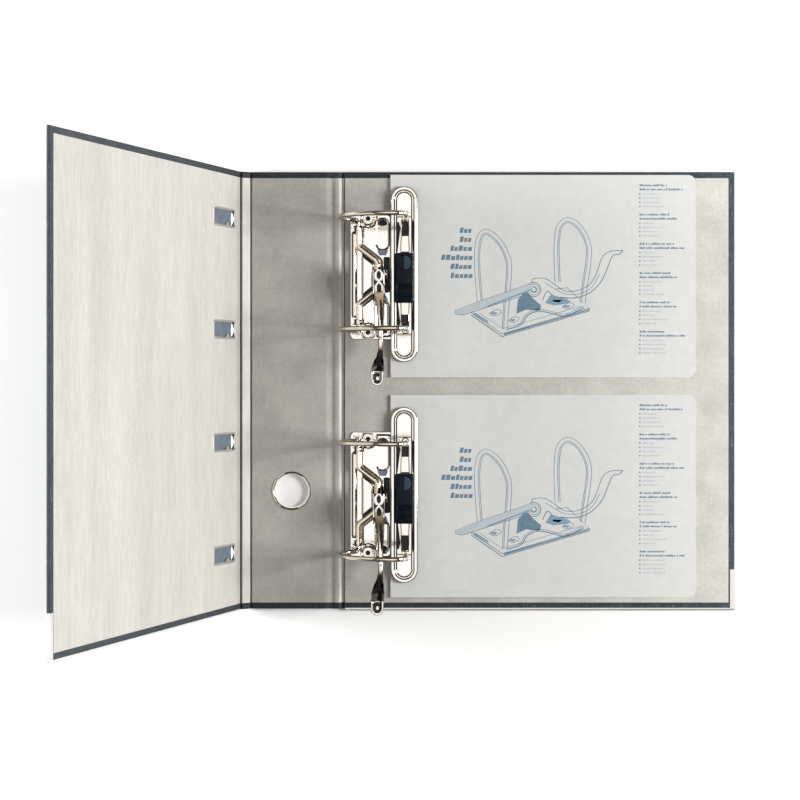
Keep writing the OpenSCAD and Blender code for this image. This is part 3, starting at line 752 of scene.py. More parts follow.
def crease_xs(start, end, centre):
    """Places across a crease's strip, close together where it bends and where it is scored."""
    fine = [centre + BEND * k / 5 for k in range(-7, 8)]
    scored = [s[0] + side * k / 6 for s in SCORES for k in range(7) for side in (-s[2], s[3])]
    marks = sorted([start, end, *fine, *scored])
    low, high = min(start, end), max(start, end)
    kept = []
    for x in marks:
        if low <= x <= high and (not kept or x - kept[-1] > 0.12 or x == high):
            kept.append(x)
    if kept[-1] != high:
        kept.append(high)
    return kept


def folded(point, first, second):
    """Rest place of a flat point whose two front creases are bent by these shares."""
    p = turned_about(FRONT_X, FOLD * second) @ point
    return turned_about(SPINE_X0, FOLD * first) @ p


def share_past(x, centre):
    """How much of a crease's bend lies between the spine side and x."""
    return ease((centre + BEND - x) / (2 * BEND))


def case_creases():
    """The strips over the creases, folded as they rest: each lies between the two neighbouring bodies of
    the case listed for it, and rides on none.
    """
    middle_back, middle_front = SPINE_X1 / 2, SPINE_X0 - CREASE_W / 2
    strips = [
        ("back_outer_crease", "back_cover", "back_crease", SEAM, middle_back, 0.0,
         ["back_crease_board", "back_crease_paper"], ["back_crease_lining"]),
        ("back_inner_crease", "back_crease", "spine", middle_back, SPINE_X1 - SEAM, SPINE_X1, [], []),
        ("front_inner_crease", "spine", "front_crease", SPINE_X0 + SEAM, middle_front, SPINE_X0,
         ["front_crease_board", "front_crease_paper"], ["front_crease_lining"]),
        ("front_outer_crease", "front_crease", "front_cover", middle_front, FRONT_X - SEAM, FRONT_X,
         [], []),
    ]
    for name, body_a, body_b, start, end, centre, papers, linings in strips:
        xs = crease_xs(start, end, centre)
        tones = [crease_tone((a + b) / 2) for a, b in zip(xs, xs[1:])]
        for kind, half, low, high, rounded, shades, slot, gone in (
            ("paper", HALF_H, PAPER_LOW, PAPER_HIGH, True, ["cover"], "covering_paper", papers),
            ("lining", HALF_H - TURN_IN, COVER_T - LINING_T, COVER_T, False,
             ["lining", "crease_shade", "crease_lining"], "inside_lining", linings),
        ):
            grid = [[[folded(p, share_past(p.x, SPINE_X0), share_past(p.x, FRONT_X)) for p in pair]
                     for pair in line] for line in case_rows(xs, half, low, high, rounded)]
            bm = case_stretch(grid, tones if kind == "lining" else None)
            piece = finish_piece(f"{name}_{kind}", bm, None, shades, FLAT, gone)
            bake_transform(piece)


# ---- Catch slots ----


def slot_frames():
    """Pressed frames: a lip around each hole, a blue-grey flap in it that paints the shade seen through the
    hole, corners of painted shade and a pointed tongue.
    """
    bm = bmesh.new()
    section = [(0.0, COVER_T + 0.02), (0.12, COVER_T + 0.28), (0.45, COVER_T + 0.42),
               (1.1, COVER_T + 0.42), (1.5, COVER_T + 0.25), (1.7, COVER_T - 0.2),
               (1.7, 0.3), (1.5, 0.04), (1.2, 0.0), (0.2, 0.0), (0.0, 0.15), (0.25, 0.3),
               (1.35, 0.45), (1.35, COVER_T - 0.2), (0.2, COVER_T - 0.05)]
    near, far = SLOT_X1 - SLOT_LIP, SLOT_X0 + SLOT_LIP
    half = SLOT_HALF - 1.4
    for y in slot_centres():
        made = [[bm.verts.new((px, py, z)) for px, py in slot_loop(y, inset)] for inset, z in section]
        join_rings(bm, [*made, made[0]])
        # Painted shade: a blue-grey flap fills the hole where the shaded floor behind the cover would show.
        flap = [(far, y - half), (near - 2.4, y - half), (near - 3.2, y), (near - 2.4, y + half),
                (far, y + half)]
        sheet(bm, flap, lambda px, py: 0.8 + 0.25 * ease((px - far) / 30), 2.0, 0.35, material=1)
        # Painted shade: near-black corners at the hinge end of each hole.
        for way in (-1, 1):
            corner = [(near, y + way * 1.3), (near, y + way * 5.4), (near - 3.8, y + way * 5.4),
                      (near - 2.2, y + way * 3.2)]
            sheet(bm, corner[::way], lambda px, py: COVER_T - 0.35, 1.0, 0.3, material=2)
        tongue = [(near - 15, y - half), (near - 7, y - half), (near - 11, y - 2.4)]
        sheet(bm, tongue, lambda px, py: COVER_T - 0.5, 1.0, 0.3)
    finish_piece("slot_frame_set", bm, "front_cover", ["rim", "slot_steel", "dark"], FRONT,
                 ["slot_frames"])


def finger_ring():
    """Eyelet of the finger hole: a rolled bead on the lining and a wall through the spine."""
    bm = bmesh.new()
    profile = [(12.4, 0.3), (12.4, COVER_T), (12.6, COVER_T + 0.5), (13.3, COVER_T + 0.85),
               (14.0, COVER_T + 0.55), (14.3, COVER_T + 0.05), (12.9, COVER_T - 0.05), (12.75, 0.3)]
    lathe(bm, profile, Matrix.Translation((FINGER_X, FINGER_Y, 0)), 96)
    finish_piece("finger_eyelet", bm, "spine", ["post"], FLAT, ["finger_ring"])


# ---- Mechanism: fixed parts ----

PLATE = (4.2, 56.0, -46.6, 46.6)
PLATE_CORNER = 3.3
PLATE_T = 0.8
BED_H = 1.05
WALL = 1.6                # width of a sloping wall in the stamped relief
RIVET_X, RIVET_Y, RIVET_FAR_X = 17.0, 41.4, 50.5
CRANK_X, CRANK_Y, CRANK_FOOT_Y = 24.0, 9.8, 20.6
TRENCH = [(PIVOT_X, 46.0), (PIVOT_X, CRANK_FOOT_Y), (CRANK_X, CRANK_Y), (CRANK_X, -CRANK_Y),
          (PIVOT_X, -CRANK_FOOT_Y), (PIVOT_X, -46.0)]
TROUGH_X0, TROUGH_X1, TROUGH_Y0, TROUGH_Y1 = 23.4, 31.8, 18.8, 41.2


def trough_distance(x, y, s):
    y0, y1 = sorted((s * TROUGH_Y0, s * TROUGH_Y1))
    return box_distance(x, y, TROUGH_X0, TROUGH_X1, y0, y1, 4.1)


def plate_height(x, y):
    """Upper face of the stamped base plate above the lining."""
    edge = -box_distance(x, y, *PLATE, PLATE_CORNER)
    h = PLATE_T - round_off(edge, 0.45)
    bed = ease(-box_distance(x, y, 12.2, 34.6, -45.0, 45.0, 3.0) / WALL)
    for s in (1, -1):
        from_rivet = math.hypot(x - RIVET_X, y - s * RIVET_Y)
        bed *= ease((from_rivet - 5.9) / 1.3)
        h += 0.5 * math.exp(-((from_rivet - 4.6) / 0.55) ** 2)
        bed *= ease((trough_distance(x, y, s) + 0.3) / 1.3)
    bed *= ease((line_distance(x, y, TRENCH) - 2.4) / WALL)
    h += BED_H * bed
    bead = line_distance(x, y, [(7.1, 30.0), (7.1, -29.0)])
    if bead < 1.8:
        h += math.sqrt(1.8 * 1.8 - bead * bead) * 0.8
    return h


def mirrored(loop, s):
    return loop if s > 0 else [(x, -y) for x, y in reversed(loop)]


def base_plate(name):
    """Stamped plate with openings over a near-black sheet that paints the shade seen through them, loops
    for the bow and ears for the lever.
    """
    bm = bmesh.new()
    holes = [circle(2.3, 20, x, s * RIVET_Y) for s in (1, -1) for x in (RIVET_FAR_X, RIVET_X)]
    holes.append(rounded_loop(28.3, 32.8, -12.5, 13.5, 0.9, steps=3))
    crescent = arc((27.6, 37.2), 3.6, 0, 180, 14) + [(25.4, 36.4), (27.6, 36.0), (29.8, 36.4)]
    slot = [(12.6, 14.9), (23.2, 7.0), (23.2, 9.4), (12.6, 17.2)]
    for s in (1, -1):
        holes += [mirrored(crescent, s), mirrored(slot, s)]
    lines = [rounded_loop(*PLATE, PLATE_CORNER, inset) for inset in (0.12, 0.45)]
    sheet(bm, rounded_loop(*PLATE, PLATE_CORNER), plate_height, 0.75, 0.5, holes, lines)
    # Painted shade: a near-black sheet under the plate's openings.
    under = rounded_loop(8.6, 36.0, -44.0, 44.0, 2.0, steps=3)
    sheet(bm, under, lambda x, y: 0.22, 6.0, 0.15, material=1)
    for s in (1, -1):
        ramp = mirrored([(23.7, 18.4), (31.6, 18.4), (30.2, 14.6), (25.2, 14.6)][::-1], s)
        sheet(bm, ramp, lambda x, y: 1.9 + 0.12 * (18.4 - abs(y)), 1.2, 0.8, material=2)
        bearing_loop(bm, s * 34.0)
    for x in (26.15, 29.5):
        pivot_ear(bm, x)
    mechanism_piece(name, "plate_stamping", bm, "back_cover", ["stamped", "dark", "slot_steel"],
                    "base_plate")


def bearing_loop(bm, y):
    """Strap bent over the bow's foot, with feet on the plate."""
    r = WIRE_R + 0.5
    path = [(PIVOT_X - r - 2.0, 0.7), (PIVOT_X - r - 0.6, 0.8), (PIVOT_X - r, 1.6)]
    path += [(px, pz) for px, pz in arc((PIVOT_X, PIVOT_Z), r, 180, 0, 14)]
    path += [(PIVOT_X + r, 1.6), (PIVOT_X + r + 0.6, 0.8), (PIVOT_X + r + 2.0, 0.7)]
    ring = [(-2.0, -0.35), (-1.8, -0.45), (1.8, -0.45), (2.0, -0.35), (2.0, 0.35), (1.8, 0.45),
            (-1.8, 0.45), (-2.0, 0.35)]
    sweep(bm, [(px, y, pz) for px, pz in path], ring, side=(0, 1, 0))


def pivot_ear(bm, x):
    """Upright ear that carries the lever's rivet."""
    top = arc((0, LEVER_Z), 3.2, 0, 180, 12)
    loop = [(8.0, 0.2), (7.4, 2.4), *top, (-7.4, 2.4), (-8.0, 0.2)]
    rows = []
    for dx, inset in ((0.0, 0.15), (0.15, 0.0), (0.65, 0.0), (0.8, 0.15)):
        rows.append([(x + dx, py * (1 - inset / 8), pz - inset * (pz > 3)) for py, pz in loop])
    skin_rows(bm, rows)


def hollow_rivet(bm, x, y, seat, top, hole, r):
    """Rivet through the back cover with a rolled rim inside and a flat head outside."""
    low = -COVER_T
    mid = (r + hole) / 2
    profile = [(hole, low), (hole, seat + 0.3), (hole + 0.25, top - 0.15), (mid, top),
               (r - 0.35, top - 0.15), (r, seat + 0.1), (r - 0.4, seat - 0.1), (2.3, seat - 0.1),
               (2.3, low + 0.3), (r, low + 0.3), (r + 0.05, low + 0.15), (r - 0.3, low)]
    lathe(bm, profile, Matrix.Translation((x, y, 0)), 32)


def mounting_rivets(name):
    """Four rivets: two in the base plate's corners and two under the compressor bar."""
    bm = bmesh.new()
    for s in (1, -1):
        hollow_rivet(bm, RIVET_X, s * RIVET_Y, PLATE_T, 1.9, 1.5, 3.5)
        hollow_rivet(bm, RIVET_FAR_X, s * RIVET_Y, PLATE_T, 1.3, 1.6, 3.5)
    mechanism_piece(name, "rivet_set", bm, "back_cover", ["nickel"], "mounting_rivets")


def posts(name):
    """Fixed posts: a flared foot, a straight shank and a hollow, rounded tip."""
    bm = bmesh.new()
    top = mm_box(name + "_posts")[1].z - COVER_T
    r = 2.1
    profile = [(0.0, 0.2), (2.9, 0.2), (2.9, 0.8), (2.5, 1.3), (r, 1.9), (r, top - 0.5),
               (r - 0.15, top - 0.12), (r - 0.4, top), (1.55, top - 0.1), (1.5, top - 0.4),
               (1.5, top - 6), (0.0, top - 6)]
    for s in (1, -1):
        lathe(bm, profile, Matrix.Translation((POST_X, s * HOLE_Y, 0)), 36)
    mechanism_piece(name, "post_pair", bm, "back_cover", ["post"], "posts")


# ---- Mechanism: bow, lever and roller ----


def bow_path():
    """Half of the bow's centre line, from the middle of its saddle to an arch's tip."""
    tip_r, tip_z = 9.0, 62.25
    sweep_c, sweep_r = (35.2, 33.6), 37.65
    leg_c, leg_r, leg_end = (35.98, 33.6), 38.43, 41.8
    bend = 4.0
    slope = math.degrees(math.atan2(CRANK_FOOT_Y - CRANK_Y, CRANK_X - PIVOT_X))
    turn = 90 - slope
    reach = 5.0 * math.tan(math.radians(turn / 2))
    points = [(CRANK_X, 0.0, PIVOT_Z), (CRANK_X, CRANK_Y - reach, PIVOT_Z)]
    points += [(x, y, PIVOT_Z) for x, y in arc((CRANK_X - 5, CRANK_Y - reach), 5.0, 0, turn, 8)][1:]
    points += [(x, y, PIVOT_Z)
               for x, y in arc((PIVOT_X + 5, CRANK_FOOT_Y + reach), 5.0, 180 + turn, 180, 8)]
    lean = math.radians(leg_end)
    up = Vector((-math.sin(lean), 0, math.cos(lean)))
    foot = Vector((PIVOT_X, HOLE_Y - bend, PIVOT_Z))
    for i in range(0, 11):
        a = math.radians(9 * i)
        points.append(tuple(foot + Vector((0, bend * math.sin(a), 0)) + up * bend * (1 - math.cos(a))))
    side = arc(leg_c, leg_r, 180 + leg_end, 180, 16) + arc(sweep_c, sweep_r, 180, 90, 36)[1:]
    side += arc((POST_X - tip_r, tip_z), tip_r, 90, 0, 14)[1:]
    points += [(x, HOLE_Y, z) for x, z in side[1:]]
    return points


def bow(name):
    """One bent wire: two arches, two feet and the crank between them."""
    half = bow_path()
    path = [(x, -y, z) for x, y, z in reversed(half[1:])] + half
    bm = bmesh.new()
    sweep(bm, path, circle(WIRE_R, 28))
    tip_z = half[-1][2]
    peg = [(0.0, 0.3), (WIRE_R, 0.3), (WIRE_R, -0.1), (1.3, -0.25), (1.15, -0.9), (0.7, -1.1), (0.0, -1.1)]
    for s in (1, -1):
        lathe(bm, peg, Matrix.Translation((POST_X, s * HOLE_Y, tip_z)), 28)
    mechanism_piece(name, "bent_wire", bm, name + "_arches", ["wire"], "bow")


def bezier(knots, t):
    """Place on a cubic curve, in the plane of the lever's length and height."""
    a, b, c, d = (Vector(k) for k in knots)
    return (1 - t) ** 3 * a + 3 * t * (1 - t) ** 2 * b + 3 * t * t * (1 - t) * c + t ** 3 * d


LEVER_KNOTS = [
    [(3.0, 25.9), (-10, 28.6), (-24, 18.6), (-40, 17.6)],
    [(-40, 17.6), (-48, 17.1), (-54, 18.0), (-59, 21.4)],
    [(-59, 21.4), (-65.5, 26.5), (-68.5, 38), (-70.6, 58.6)],
]
# Half widths of the lever along its length, how deep its flanges reach and how far it swings sideways
LEVER_WIDTHS = [(6, 4.0), (-13, 4.1), (-26, 2.7), (-38, 1.8), (-53, 1.65), (-58, 2.3), (-63, 3.9),
                (-67, 4.8), (-71, 4.6)]
LEVER_DEPTHS = [(6, 5.6), (-16, 5.6), (-30, 4.4), (-50, 3.2), (-60, 2.6), (-71, 1.2)]
LEVER_SWAY = [(0, 0.0), (-38, 1.3), (-52, 1.3), (-68, -0.6), (-80, -0.9)]


def table_value(table, y):
    """Value of a table of (place, value) at y, eased between its rows."""
    for (y0, v0), (y1, v1) in zip(table, table[1:]):
        if y1 <= y <= y0:
            return v0 + (v1 - v0) * ease((y0 - y) / (y0 - y1))
    return table[-1][1] if y < table[-1][0] else table[0][1]


def channel_ring(half, depth):
    """Section of a pressed channel, open below: across and up."""
    t = 0.7
    r = min(1.0, half * 0.5)
    top = [(-half + r + (2 * half - 2 * r) * k / 8, 0.0) for k in range(1, 8)]
    outer = [(-half, -depth), *arc((-half + r, -r), r, 180, 90, 4), *top,
             *arc((half - r, -r), r, 90, 0, 4), (half, -depth)]
    ri = r * 0.6
    inner = [(half - t, -depth), *arc((half - t - ri, -t - ri), ri, 0, 90, 3),
             *arc((-half + t + ri, -t - ri), ri, 90, 180, 3), (-half + t, -depth)]
    return outer + inner


def painted_shade_on_lever(x, y):
    """Marks of painted shade on the lever's flat top: crossing ribs over the pivot, an oval, and the
    tapered fork.
    """
    side = x - LEVER_X - table_value(LEVER_SWAY, y)
    if -13 < y < 4:
        rib = 2.7 * abs(math.cos(math.pi * (y + 1) / 9.5))
        return abs(side) < 3.3 and abs(abs(side) - rib) > 0.8
    if -40 < y < -17:
        return ((side - 0.7) / 0.95) ** 2 + ((y + 28.5) / 10.5) ** 2 < 1
    if -66 < y < -55:
        return abs(side) < 0.20 * (-55 - y) + 0.1
    return False


def lever(name):
    """Pressed lever: a channel over the pivot and neck, a flared end and a rounded thumb spoon."""
    bm = bmesh.new()
    path = [bezier(k, i / 40) for k in LEVER_KNOTS for i in range(40)] + [Vector(LEVER_KNOTS[-1][-1])]
    rings = [channel_ring(table_value(LEVER_WIDTHS, y), table_value(LEVER_DEPTHS, y)) for y, _ in path]
    sweep(bm, [(LEVER_X + table_value(LEVER_SWAY, y), y, z) for y, z in path], rings, side=(1, 0, 0))
    # Painted shade: faces of the lever's top under these marks take the near-black steel.
    for face in bm.faces:
        centre = face.calc_center_median()
        on_top = face.calc_area() < 3 and centre.z > lever_height(centre.y) - 0.35
        if on_top and painted_shade_on_lever(centre.x, centre.y):
            face.material_index = 1
    thumb_spoon(bm)
    cheeks(bm)
    mechanism_piece(name, "pressed_lever", bm, name + "_lever_arm", ["stamped", "dark"], "lever")


def thumb_spoon(bm):
    """Cupped round end of the lever, with a pad of painted shade in it and two bright marks of bare plate
    on that pad.
    """
    mid, end, r = LEVER_X - 0.9, -80.0, 4.4
    outline = [(mid + r + 0.2, -69.6), (mid - r - 0.2, -69.6), *arc((mid, end + r), r, 180, 360, 24)]

    def spoon(x, y):
        d = box_distance(x, y, mid - r, mid + r, end, -62, r)
        return 60.6 + 0.12 * (y + 75) - 0.9 * ease((-d - 0.9) / 2.0) - round_off(-d, 0.3)

    lines = [[(mid + (x - mid) * k, -75 + (y + 75) * k) for x, y in outline] for k in (0.93, 0.8)]
    sheet(bm, outline, spoon, 0.5, 0.8, (), lines)
    # Painted shade: a near-black pad in the cup, with two marks of bare plate on it.
    pads = [(0, -74.6, 3.1, 3.7, 0.04, 1), (0.2, -74.9, 1.0, 1.3, 0.1, 0),
            (2.0, -74.6, 0.35, 2.2, 0.1, 0)]
    for pad_x, pad_y, rx, ry, lift, kind in pads:
        pad = [(mid + pad_x + rx * x, pad_y + ry * y) for x, y in circle(1.0, 20)]
        sheet(bm, pad, lambda x, y: spoon(x, y) + lift, 0.6, 0.1, material=kind)


def lever_height(y):
    """Height of the lever's top at a place along it."""
    for knots in LEVER_KNOTS:
        if knots[3][0] <= y <= knots[0][0]:
            low, high = 0.0, 1.0
            for _ in range(20):
                t = (low + high) / 2
                low, high = (t, high) if bezier(knots, t).x > y else (low, t)
            return bezier(knots, low).y
    return 0.0


ROLLER_Y, ROLLER_Z, ROLLER_R = -10.5, 10.55, 3.5


def cheeks(bm):
    """The lever's two cheeks: they reach down from the channel and hold the roller's pin."""
    lean = math.degrees(math.atan2(ROLLER_Z - LEVER_Z, ROLLER_Y))
    loop = [*arc((0, LEVER_Z), 3.7, lean + 270, lean + 390, 10), (2.6, 25.8), (-3.0, 26.0),
            (-14.0, 24.4), (-19.5, 17.6), *arc((ROLLER_Y, ROLLER_Z), 2.9, 178, 298, 10)]
    for x in (LEVER_X - 4.1, LEVER_X + 3.3):
        skin_rows(bm, [[(x + dx, py, pz) for py, pz in loop] for dx in (0.0, 0.8)])


def lever_pivot(name):
    """Hollow rivet through the ears and the lever, with a head on each side."""
    bm = bmesh.new()
    x0, x1 = LEVER_X - 4.9, 31.0
    drum(bm, x0, x1, 0, LEVER_Z, 1.9, 1.1)
    for a, b in ((x0 - 0.1, x0 + 0.6), (x1 - 0.7, x1 + 0.05)):
        drum(bm, a, b, 0, LEVER_Z, 3.1, 1.1, 0.3)
    mechanism_piece(name, "pivot_rivet", bm, "back_cover", ["nickel"], "lever_pivot")


def roller(name):
    """The roller on the lever's cam end and the pin that it turns on."""
    bm = bmesh.new()
    low, high = mm_box(name + "_cam_roller")
    drum(bm, low.x - HINGE_X, high.x - HINGE_X, ROLLER_Y, ROLLER_Z, ROLLER_R, 1.15, 0.4)
    mechanism_piece(name, "brass_roller", bm, name + "_roller", ["brass"], "cam_roller")
    bm = bmesh.new()
    drum(bm, LEVER_X - 4.3, LEVER_X + 4.3, ROLLER_Y, ROLLER_Z, 1.1, 0.0, 0.2)
    mechanism_piece(name, "pin", bm, name + "_lever_arm", ["nickel"], "roller_pin")


# ---- Mechanism: compressor ----

BAR_X0, BAR_W, BAR_LEN = 33.6, 19.4, 127.6
BAR_MID = BAR_X0 + BAR_W / 2
BAR = (BAR_X0, BAR_X0 + BAR_W, 0.8 - BAR_LEN / 2, 0.8 + BAR_LEN / 2)
BAR_R = BAR_W / 2 - 0.1
CLIP_HALF_W, CLIP_HALF_L, CLIP_H = 6.75, 18.2, 3.6
CLIP_X, CLIP_Y = 43.4, -1.9


def bar_height(x, y):
    """Upper face of the compressor bar: a broad rim, a ledge inside it and a low middle."""
    d = -box_distance(x, y, *BAR, BAR_R)
    h = 2.3 - round_off(d, 0.6)
    h -= 0.75 * ease((d - 2.1) / 0.95)
    h -= 0.75 * ease((d - 3.7) / 0.95)
    if 17 < abs(y) < 43:
        tongue = abs(x - 43.9) - (3.2 - 0.5 * ease((abs(y) - 17) / 12))
        h += 0.5 * ease(0.5 - tongue / 1.2) * ease((42 - abs(y)) / 3)
    if abs(abs(y) - 43.2) < 1.4 and d > 4.6:
        h -= 0.5 * ease(1 - abs(abs(y) - 43.2) / 1.0)
    return h


def compressor_bar(name):
    """Stamped bar with openings around its post holes, over a near-black sheet that paints the shade seen
    through them.
    """
    bm = bmesh.new()
    post_hole = [*arc((POST_X, HOLE_Y), 2.6, 0, 180, 12), (41.7, 37.6), (41.5, 28.6), (46.5, 28.6),
                 (46.8, 37.6)]
    left = [(38.3, 39.0), (37.9, 33.0), (37.2, 17.0), (38.5, 17.0), (40.6, 34.0), (39.6, 38.5)]
    right = [(49.2, 40.5), (49.0, 33.0), (49.5, 17.0), (50.5, 17.0), (50.9, 33.0), (50.6, 40.0)]
    holes = [mirrored(loop, s) for loop in (post_hole, left, right) for s in (1, -1)]
    lines = [rounded_loop(*BAR, BAR_R, inset) for inset in (0.12, 0.5, 2.1, 2.6, 3.05, 3.7, 4.2, 4.65)]
    sheet(bm, rounded_loop(*BAR, BAR_R), bar_height, 0.8, 0.6, holes, lines)
    for s in (1, -1):
        # Painted shade: a near-black sheet under the bar's openings.
        under = mirrored([(36.8, 16.0), (51.2, 16.0), (51.2, 42.0), (36.8, 42.0)], s)
        gap = circle(2.6, 20, POST_X, s * HOLE_Y)
        sheet(bm, under, lambda x, y: 0.18, 4.0, 0.15, [gap], material=1)
    base = mm_box(name + "_compressor_bar")[0].z - COVER_T
    mechanism_piece(name, "bar_stamping", bm, name + "_compressor", ["stamped", "dark"],
                    "compressor_bar", lift=base)


def compressor_clip(name):
    """Moulded clip: crowned, with a half disc near the head that is lighter as a painted highlight, and
    grip ribs near the tail.
    """
    bm = bmesh.new()
    box = (CLIP_X - CLIP_HALF_W, CLIP_X + CLIP_HALF_W, CLIP_Y - CLIP_HALF_L, CLIP_Y + CLIP_HALF_L)
    disc_y = CLIP_Y + 11.1

    def crown(x, y):
        d = -box_distance(x, y, *box, 1.2)
        h = CLIP_H - round_off(d, 1.0) - 0.5 * ((x - CLIP_X) / CLIP_HALF_W) ** 2
        if CLIP_Y - 16.8 < y < CLIP_Y - 4.0 and abs(x - CLIP_X) < 5.4:
            h -= 0.45 * (0.5 + 0.5 * math.cos(y * math.tau / 1.7))
        if abs(math.hypot(x - CLIP_X, y - disc_y) - 5.4) < 0.4:
            h -= 0.3
        if abs(y - CLIP_Y + 1.4) < 0.5 and abs(x - CLIP_X) < 4.6:
            h += 0.2 * (math.cos((x - CLIP_X) * 4.4) > 0.2)
        return h

    lines = [rounded_loop(*box, 1.2, inset) for inset in (0.1, 0.4, 1.0)]
    sheet(bm, rounded_loop(*box, 1.2), crown, 0.4, 3.0, (), lines)
    base = mm_box(name + "_compressor_clip")[0].z - COVER_T
    body = name + "_compressor"
    mechanism_piece(name, "moulded_clip", bm, body, ["clip"], "compressor_clip", base)
    # Painted highlight: a lighter half disc on the clip's crown.
    bm = bmesh.new()
    loop = arc((CLIP_X, disc_y), 5.0, -90, 90, 24)
    sheet(bm, loop, lambda x, y: crown(x, disc_y) + 0.12 - 0.1 * ((y - disc_y) / 5) ** 2, 0.6, 0.4)
    mechanism_piece(name, "clip_disc", bm, body, ["disc"], None, base)


# ---- Insert cards ----


def card_drop(x):
    """Upper face of a card: over the base plate it lies on the rivets, then it eases down to the lining."""
    high = mm_box("upper_insert_sheet")[1].z
    low = COVER_T + CARD_T + 0.15
    return high + (low - high) * ease((x - 62) / 46)


def card(name):
    """Punched card with rounded fore corners, threaded on the posts."""
    low, high = mm_box(name + "_insert_sheet")
    x0, x1, y0, y1 = low.x - HINGE_X, high.x - HINGE_X, low.y, high.y
    corner = 5.5
    outline = [(x0, y0), *arc((x1 - corner, y0 + corner), corner, -90, 0, 10),
               *arc((x1 - corner, y1 - corner), corner, 0, 90, 10), (x0, y1)]
    mid = MECHANISMS[name]
    holes = [circle(3.0, 28, POST_X, mid + s * HOLE_Y) for s in (1, -1)]
    bm = bmesh.new()
    sheet(bm, outline, lambda x, y: card_drop(x), 4.0, CARD_T, holes)
    finish_piece(name + "_card", bm, "back_cover", ["card"], FLAT,
                 [name + "_insert_sheet"], sharp=60)
    card_print(name, y1)


def ribbon(bm, points, width, closed=False, material=0):
    """Printed line of even width, lying on the card."""
    pts = [Vector(p) for p in points]
    n = len(pts)
    left, right = [], []
    for i, p in enumerate(pts):
        before = pts[i - 1] if closed or i else p
        after = pts[(i + 1) % n] if closed or i < n - 1 else p
        d = (after - before).normalized()
        side = Vector((-d.y, d.x)) * width / 2
        left.append(p + side)
        right.append(p - side)
    for i in range(n if closed else n - 1):
        j = (i + 1) % n
        flat_patch(bm, (left[i], left[j], right[j], right[i]), material)


def flat_patch(bm, points, material=0):
    """Printed area, a flat outline just above the card."""
    lift = 0.03 + 0.012 * material
    corners = [bm.verts.new((p[0], p[1], card_drop(p[0]) + lift)) for p in points]
    bm.faces.new(corners).material_index = material


def greeked(bm, x, y, height, letters, material=0, slant=0.2):
    """One line of greeked text: a row of letter-sized blocks."""
    for k in range(letters):
        wide = height * random.uniform(0.55, 0.8)
        tall = height * (1.0 if k == 0 or random.random() < 0.2 else 0.74)
        lean = slant * tall
        block = [(x, y), (x + wide, y), (x + wide + lean, y + tall), (x + lean, y + tall)]
        flat_patch(bm, block, material)
        x += wide + height * 0.17
        if height < 2 and random.random() < 0.18:
            x += height * 0.5


# Layout of the print: the right end of the large words, and the left edge of the small notes
WORDS_X1, WORD_PITCH = 93.6, 6.57
NOTES_X, NOTE_PITCH, NOTE_LINE = 214.6, 21.3, 3.05
INK, INK_LIGHT, INK_PALE = 0, 1, 2


def card_print(name, top):
    """Greeked notes and a line drawing of an arch mechanism, laid out on the card."""
    random.seed(7)
    bm = bmesh.new()
    for k, letters in enumerate((3, 3, 5, 7, 5, 5)):
        greeked(bm, WORDS_X1 - letters * 3.35, top - 42.2 - WORD_PITCH * k, 3.9, letters)
    for g in range(6):
        y = top - 8.2 - NOTE_PITCH * g
        greeked(bm, NOTES_X, y, 1.5, random.randint(14, 18))
        greeked(bm, NOTES_X, y - 3.0, 1.5, random.randint(18, 23))
        for k in range(4):
            dot_y = y - 6.1 - NOTE_LINE * k
            flat_patch(bm, circle(0.6, 8, NOTES_X + 0.3, dot_y + 0.5))
            greeked(bm, NOTES_X + 2.6, dot_y, 1.1, random.randint(8, 17), INK_PALE, 0.0)
    drawing(bm, top)
    finish_piece(name + "_card_print", bm, "back_cover", ["ink", "ink_light", "ink_pale"], FLAT,
                 sharp=60)


def smooth_line(points, steps=5):
    """Smooth curve through points."""
    pts = [Vector(p) for p in points]
    made = []
    for i in range(len(pts) - 1):
        a, b, c, d = pts[max(i - 1, 0)], pts[i], pts[i + 1], pts[min(i + 2, len(pts) - 1)]
        for k in range(steps):
            t = k / steps
            made.append(0.5 * (2 * b + (c - a) * t + (2 * a - 5 * b + 4 * c - d) * t * t
                               + (3 * b - a - 3 * c + d) * t ** 3))
    return made + [pts[-1]]


def offset_line(points, gap):
    """Line that keeps a gap beside another."""
    made = []
    for i, p in enumerate(points):
        d = (points[min(i + 1, len(points) - 1)] - points[max(i - 1, 0)]).normalized()
        made.append(p + Vector((-d.y, d.x)) * gap)
    return made


